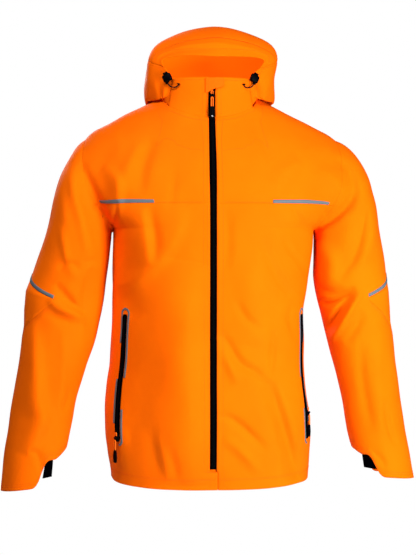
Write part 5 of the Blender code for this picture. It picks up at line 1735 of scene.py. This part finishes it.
def on_cloth(cloth, columns, rows):
    """Points just above a cloth, and the ways out of it there."""
    columns, rows = np.broadcast_arrays(np.asarray(columns, dtype=float), np.asarray(rows, dtype=float))
    points = cloth.at(columns, rows, STITCH_OUT)
    return points, cloth.at(columns, rows, STITCH_OUT + 0.001) - points


def up_line(cloth, metres, low, top):
    """A line beside a cloth's first column, a distance in from it."""
    rows = np.linspace(low, top, 120)
    wide = np.linalg.norm(cloth.at(0.5, rows) - cloth.at(0.0, rows), axis=-1) / 0.5
    return on_cloth(cloth, metres / wide, rows)


def along_line(cloth, metres, first, last, edge):
    """A line beside an edge row, a distance up from it (down where it is negative)."""
    columns = np.linspace(first, last, 150)
    step = 0.4 if metres > 0 else -0.4
    tall = np.linalg.norm(cloth.at(columns, edge + step) - cloth.at(columns, edge), axis=-1) / 0.4
    return on_cloth(cloth, columns, edge + metres / tall)


# Distances of the stitch lines from the edge or seam they follow; at the neck with the column where
# each starts
ZIP_SEWN = (0.0035, 0.0110)
HEM_SEWN = (0.019, 0.0215)
YOKE_SEWN = 0.0022
NECK_SEWN = ((0.0028, 0.3), (0.0090, 0.4))
SHOULDER_SEWN = 0.0030
CUFF_SEWN = (0.008, 0.0125)
ELBOW_SEWN = (0.0025, 0.0065)
for _, name, _ in SIDES:
    lower, yoke = fronts[name]
    runs = []
    for distance in ZIP_SEWN:
        runs.append(up_line(lower, distance, 0.2, SEAM_ROW - 0.02))
        runs.append(up_line(yoke, distance, SEAM_ROW + 0.02, TOP_ROW - 0.1))
    for distance in HEM_SEWN:
        runs.append(along_line(lower, distance, 0.05, COLUMNS, 0))
        runs.append(along_line(backs[name], distance, 0.0, COLUMNS, 0))
    runs.append(along_line(yoke, YOKE_SEWN, 0.3, 3.2, SEAM_ROW))
    for distance, first in NECK_SEWN:
        runs.append(along_line(yoke, -distance, first, NECK_CELLS, TOP_ROW))
    runs.append(along_line(yoke, -SHOULDER_SEWN, NECK_CELLS + 0.2, COLUMNS, TOP_ROW))
    stitches("body_stitches_" + name, runs, THREAD_ORANGE)

    cloth = sleeves[name]
    runs = []
    for distance in CUFF_SEWN:
        runs.append(along_line(cloth, -distance, -ELBOW_REACH, AROUND - ELBOW_REACH, SLEEVE_CELLS))
    below = UPPER_SLEEVE_CELLS + ELBOW_CELLS
    for distance in ELBOW_SEWN:
        runs.append(along_line(cloth, distance, -ELBOW_REACH, ELBOW_REACH, below))
    stitches("sleeve_stitches_" + name, runs, THREAD_ORANGE)

runs = []
for name in ("left", "right"):
    cloth = collars[name]
    runs.append(on_cloth(cloth, np.linspace(cloth.columns[0] + 3.2, 58.5, 60), 0.93))
    for angle in (2.6, 7.2):
        runs.append(on_cloth(cloth, cloth.columns[0] + angle, np.linspace(0.03, 0.90, 40)))
for distance in (-0.003, 0.003):
    part = hoods["visor"] if distance < 0 else hoods["center"]
    runs.append(along_line(part, distance, HOOD_SEAM + 0.1, FAR_SEAM - 0.1, 1.0))
runs.append(along_line(hoods["visor"], 0.016, HOOD_SEAM + 0.1, FAR_SEAM - 0.1, 0.0))
for part, edge in (("side_left", HOOD_SEAM), ("side_right", FAR_SEAM)):
    cloth = hoods[part]
    columns = edge - 0.06 if part == "side_left" else edge + 0.06
    runs.append(on_cloth(cloth, columns, np.linspace(0.1, HOOD_END - 0.1, 120)))
    runs.append(along_line(cloth, 0.016, cloth.columns[0] + 0.2, cloth.columns[-1] - 0.1, 0.0))
stitches("hood_stitches", runs, THREAD_ORANGE)

# -------------------------------------------------------------------------- pulls

# Lengths of each pull's eye, cord and end
PULL_LENGTHS = {
    "front": (0.005, 0.015, 0.023),
    "left": (0.007, 0.016, 0.024),
    "right": (0.007, 0.016, 0.024),
}
# Half the distance between a pull's two cords, depth of their turn in the eye, and how far the turn
# and the cords stand out
PULL_HALF = 0.0017
TURN_DEEP = 0.0024
TURN_OUT = 0.0008
CORDS_OUT = 0.0012
END_RADII = (0.0016, 0.0024, 0.0024, 0.0012)
# Radii of the cords of a pull and of a slider's loop
PULL_CORD_RADIUS = 0.0010
LOOP_RADIUS = 0.0009
# The stud: share of the way down the pull's end, how far out it starts, and its rises and radii
STUD_AT = 0.80
STUD_OUT = 0.0022
STUD_RISES = (0.0, 0.0004, 0.0007)
STUD_RADII = [0.0017, 0.0017, 0.0011]
# The loop on a slider: how far it lies behind the hinge, half width and height of its foot, and half
# width, height and rise of its turn
LOOP_BEHIND = 0.0013
LOOP_FOOT = (0.0014, 0.0036)
LOOP_HALF = 0.0019
LOOP_HIGH = 0.0068
LOOP_RISE = 0.0030
DOWN = np.array((0.0, 0.0, -1.0))


def hinge_of(body):
    """Place of a pull's hinge in the frame, its axis, and the way out of the cloth there."""
    joint = next(joint for joint in frame["joints"] if joint["child"] == body)
    axis = -np.array(joint["axis"], dtype=float)
    return np.array(joint["pos_m"]), axis, np.array((axis[1], -axis[0], 0.0))


def pull_cords(body, sizes):
    """The cord that runs through the slider's eye and down both sides to the pull's end."""
    hinge, axis, out = hinge_of(body)
    eye, cord, _ = sizes
    turned = []
    for turn in np.radians(np.linspace(-90, 90, 9)):
        around = axis * PULL_HALF * math.sin(turn) + DOWN * (eye - TURN_DEEP * math.cos(turn))
        turned.append(hinge + around + out * TURN_OUT)
    sides = []
    for hand, shares in ((-1, (1.0, 0.6, 0.25)), (1, (0.25, 0.6, 1.0))):
        top = hinge + axis * hand * PULL_HALF + out * CORDS_OUT
        sides.append([top + DOWN * (eye + cord * share) for share in shares])
    path = smooth_path(sides[0] + turned + sides[1], 40)
    tube(body + "_loop", path, PULL_CORD_RADIUS, CORD_ORANGE, body, 10)


def pull_end(body, sizes):
    """The moulded end of a pull."""
    hinge, _, out = hinge_of(body)
    eye, cord, end = sizes
    path = []
    for share, proud in ((0.04, 0.0), (0.5, 0.0003), (0.92, 0.0)):
        path.append(hinge + DOWN * (eye + cord + end * share) + out * proud)
    radii = np.interp(np.linspace(0, 1, 14), (0, 0.15, 0.8, 1), END_RADII)
    tube(body + "_end", smooth_path(path, 14), radii, BLACK_PLASTIC, body, 12)


def pull_stud(body, sizes):
    """The small silver stud on the front pull's end."""
    hinge, _, out = hinge_of(body)
    eye, cord, end = sizes
    foot = hinge + DOWN * (eye + cord + end * STUD_AT) + out * STUD_OUT
    steps = [foot + out * rise for rise in STUD_RISES]
    tube(body + "_stud", steps, STUD_RADII, SILVER, body, 16)


def slider_loop(name):
    """The cord loop above the hinge, on a slider that stays."""
    hinge, axis, out = hinge_of(name + "_pull")
    nose = hinge - out * LOOP_BEHIND
    half, high = LOOP_FOOT
    path = [nose - axis * half - DOWN * high]
    for turn in np.radians(np.linspace(-80, 80, 9)):
        high_up = LOOP_HIGH + LOOP_RISE * math.cos(turn)
        path.append(nose + axis * LOOP_HALF * math.sin(turn) - DOWN * high_up)
    path.append(nose + axis * half - DOWN * high)
    loop = tube(name + "_slider_loop", smooth_path(path, 30), LOOP_RADIUS, CORD_ORANGE, "jacket", 8)


for name, sizes in PULL_LENGTHS.items():
    pull_cords(name + "_pull", sizes)
    pull_end(name + "_pull", sizes)
    if name == "front":
        pull_stud(name + "_pull", sizes)
    slider_loop(name)

# ------------------------------------------------------------------------- cloths


def cut(cloth, rows=slice(None), columns=slice(None)):
    """Longest row, longest column and area of a cloth laid flat, or of a part of it."""
    flat = cloth.flat[rows][:, columns]
    if cloth.wrapped and isinstance(columns, slice):
        flat = np.concatenate([flat, flat[:, :1]], axis=1)
    wide = np.linalg.norm(np.diff(flat, axis=1), axis=-1).sum(axis=1).max()
    tall = np.linalg.norm(np.diff(flat, axis=0), axis=-1).sum(axis=0).max()
    a, b, c, d = flat[:-1, :-1], flat[:-1, 1:], flat[1:, 1:], flat[1:, :-1]
    doubled = sum(np.linalg.norm(np.cross(*pair), axis=-1) for pair in ((b - a, c - a), (c - a, d - a)))
    return [wide, tall, doubled.sum() / 2]


# Width, length (metres) and area (square metres) of each cloth, laid flat
CUTS = {}
for _, name, _ in SIDES:
    CUTS["lower_" + name] = cut(fronts[name][0])
    CUTS["yoke_" + name] = cut(fronts[name][1])
    CUTS["stand_" + name] = cut(collars[name])
    sleeve = sleeves[name]
    from_panel = np.abs(sleeve.rows - UPPER_SLEEVE_CELLS - ELBOW_CELLS / 2)
    panel_rows = from_panel < ELBOW_CELLS / 2 + 0.001
    panel_columns = np.abs(sleeve.columns) <= ELBOW_REACH + 0.001
    CUTS["elbow_patch_" + name] = cut(sleeve, panel_rows, panel_columns)
    CUTS["arm_" + name] = cut(sleeve)
    CUTS["arm_" + name][2] -= CUTS["elbow_patch_" + name][2]
CUTS["back_panel"] = cut(joined)
for part, cloth in hoods.items():
    CUTS["hood_cloth_" + part] = cut(cloth)
# What each cloth hangs from, and what lies on it
HANGS_FROM = {
    "lower": ["yoke_%s", "back_panel"],
    "yoke": ["stand_%s", "back_panel"],
    "stand": ["hood_cloth_side_%s"],
    "arm": ["yoke_%s", "back_panel"],
    "elbow_patch": ["arm_%s"],
    "back_panel": ["hood_cloth_center"],
    "hood_cloth_visor": ["hood_cloth_center"],
    "hood_cloth_center": ["stand_left", "stand_right"],
    "hood_cloth_side": ["stand_%s"],
}
ON_CLOTH = {
    "lower": [
        "body_stitches_%s",
        "pocket_frame_%s_1",
        "pocket_frame_%s_2",
        "pocket_frame_%s_3",
        "pocket_tape_%s",
    ],
    "yoke": ["chest_strip_%s"],
    "arm": ["sleeve_stitches_%s", "elbow_strip_%s"],
    "hood_cloth_center": ["hood_stitches"],
}
for piece, (width, length, area) in CUTS.items():
    part, _, name = piece.rpartition("_")
    if name not in ("left", "right"):
        part, name = piece, ""
    held_by = [other.replace("%s", name) for other in HANGS_FROM[part]]
    carried = [other.replace("%s", name) for other in ON_CLOTH.get(part, [])]
    area = round(float(area), 4)

# The CAD nodes that still show get their finish
for node, made in frame["nodes"].items():
    if not made.hide_render:
        finish_of = BLACK_PLASTIC
        if "tape" in node or "trim" in node:
            finish_of = REFLECTIVE
        if "zip_tape" in node or "pocket_zip" in node or "zip_chain" in node:
            finish_of = BLACK_TAPE
        if node == "zip_garage":
            finish_of = GARAGE
        for number in range(len(made.material_slots)):
            made.material_slots[number].material = finish_of
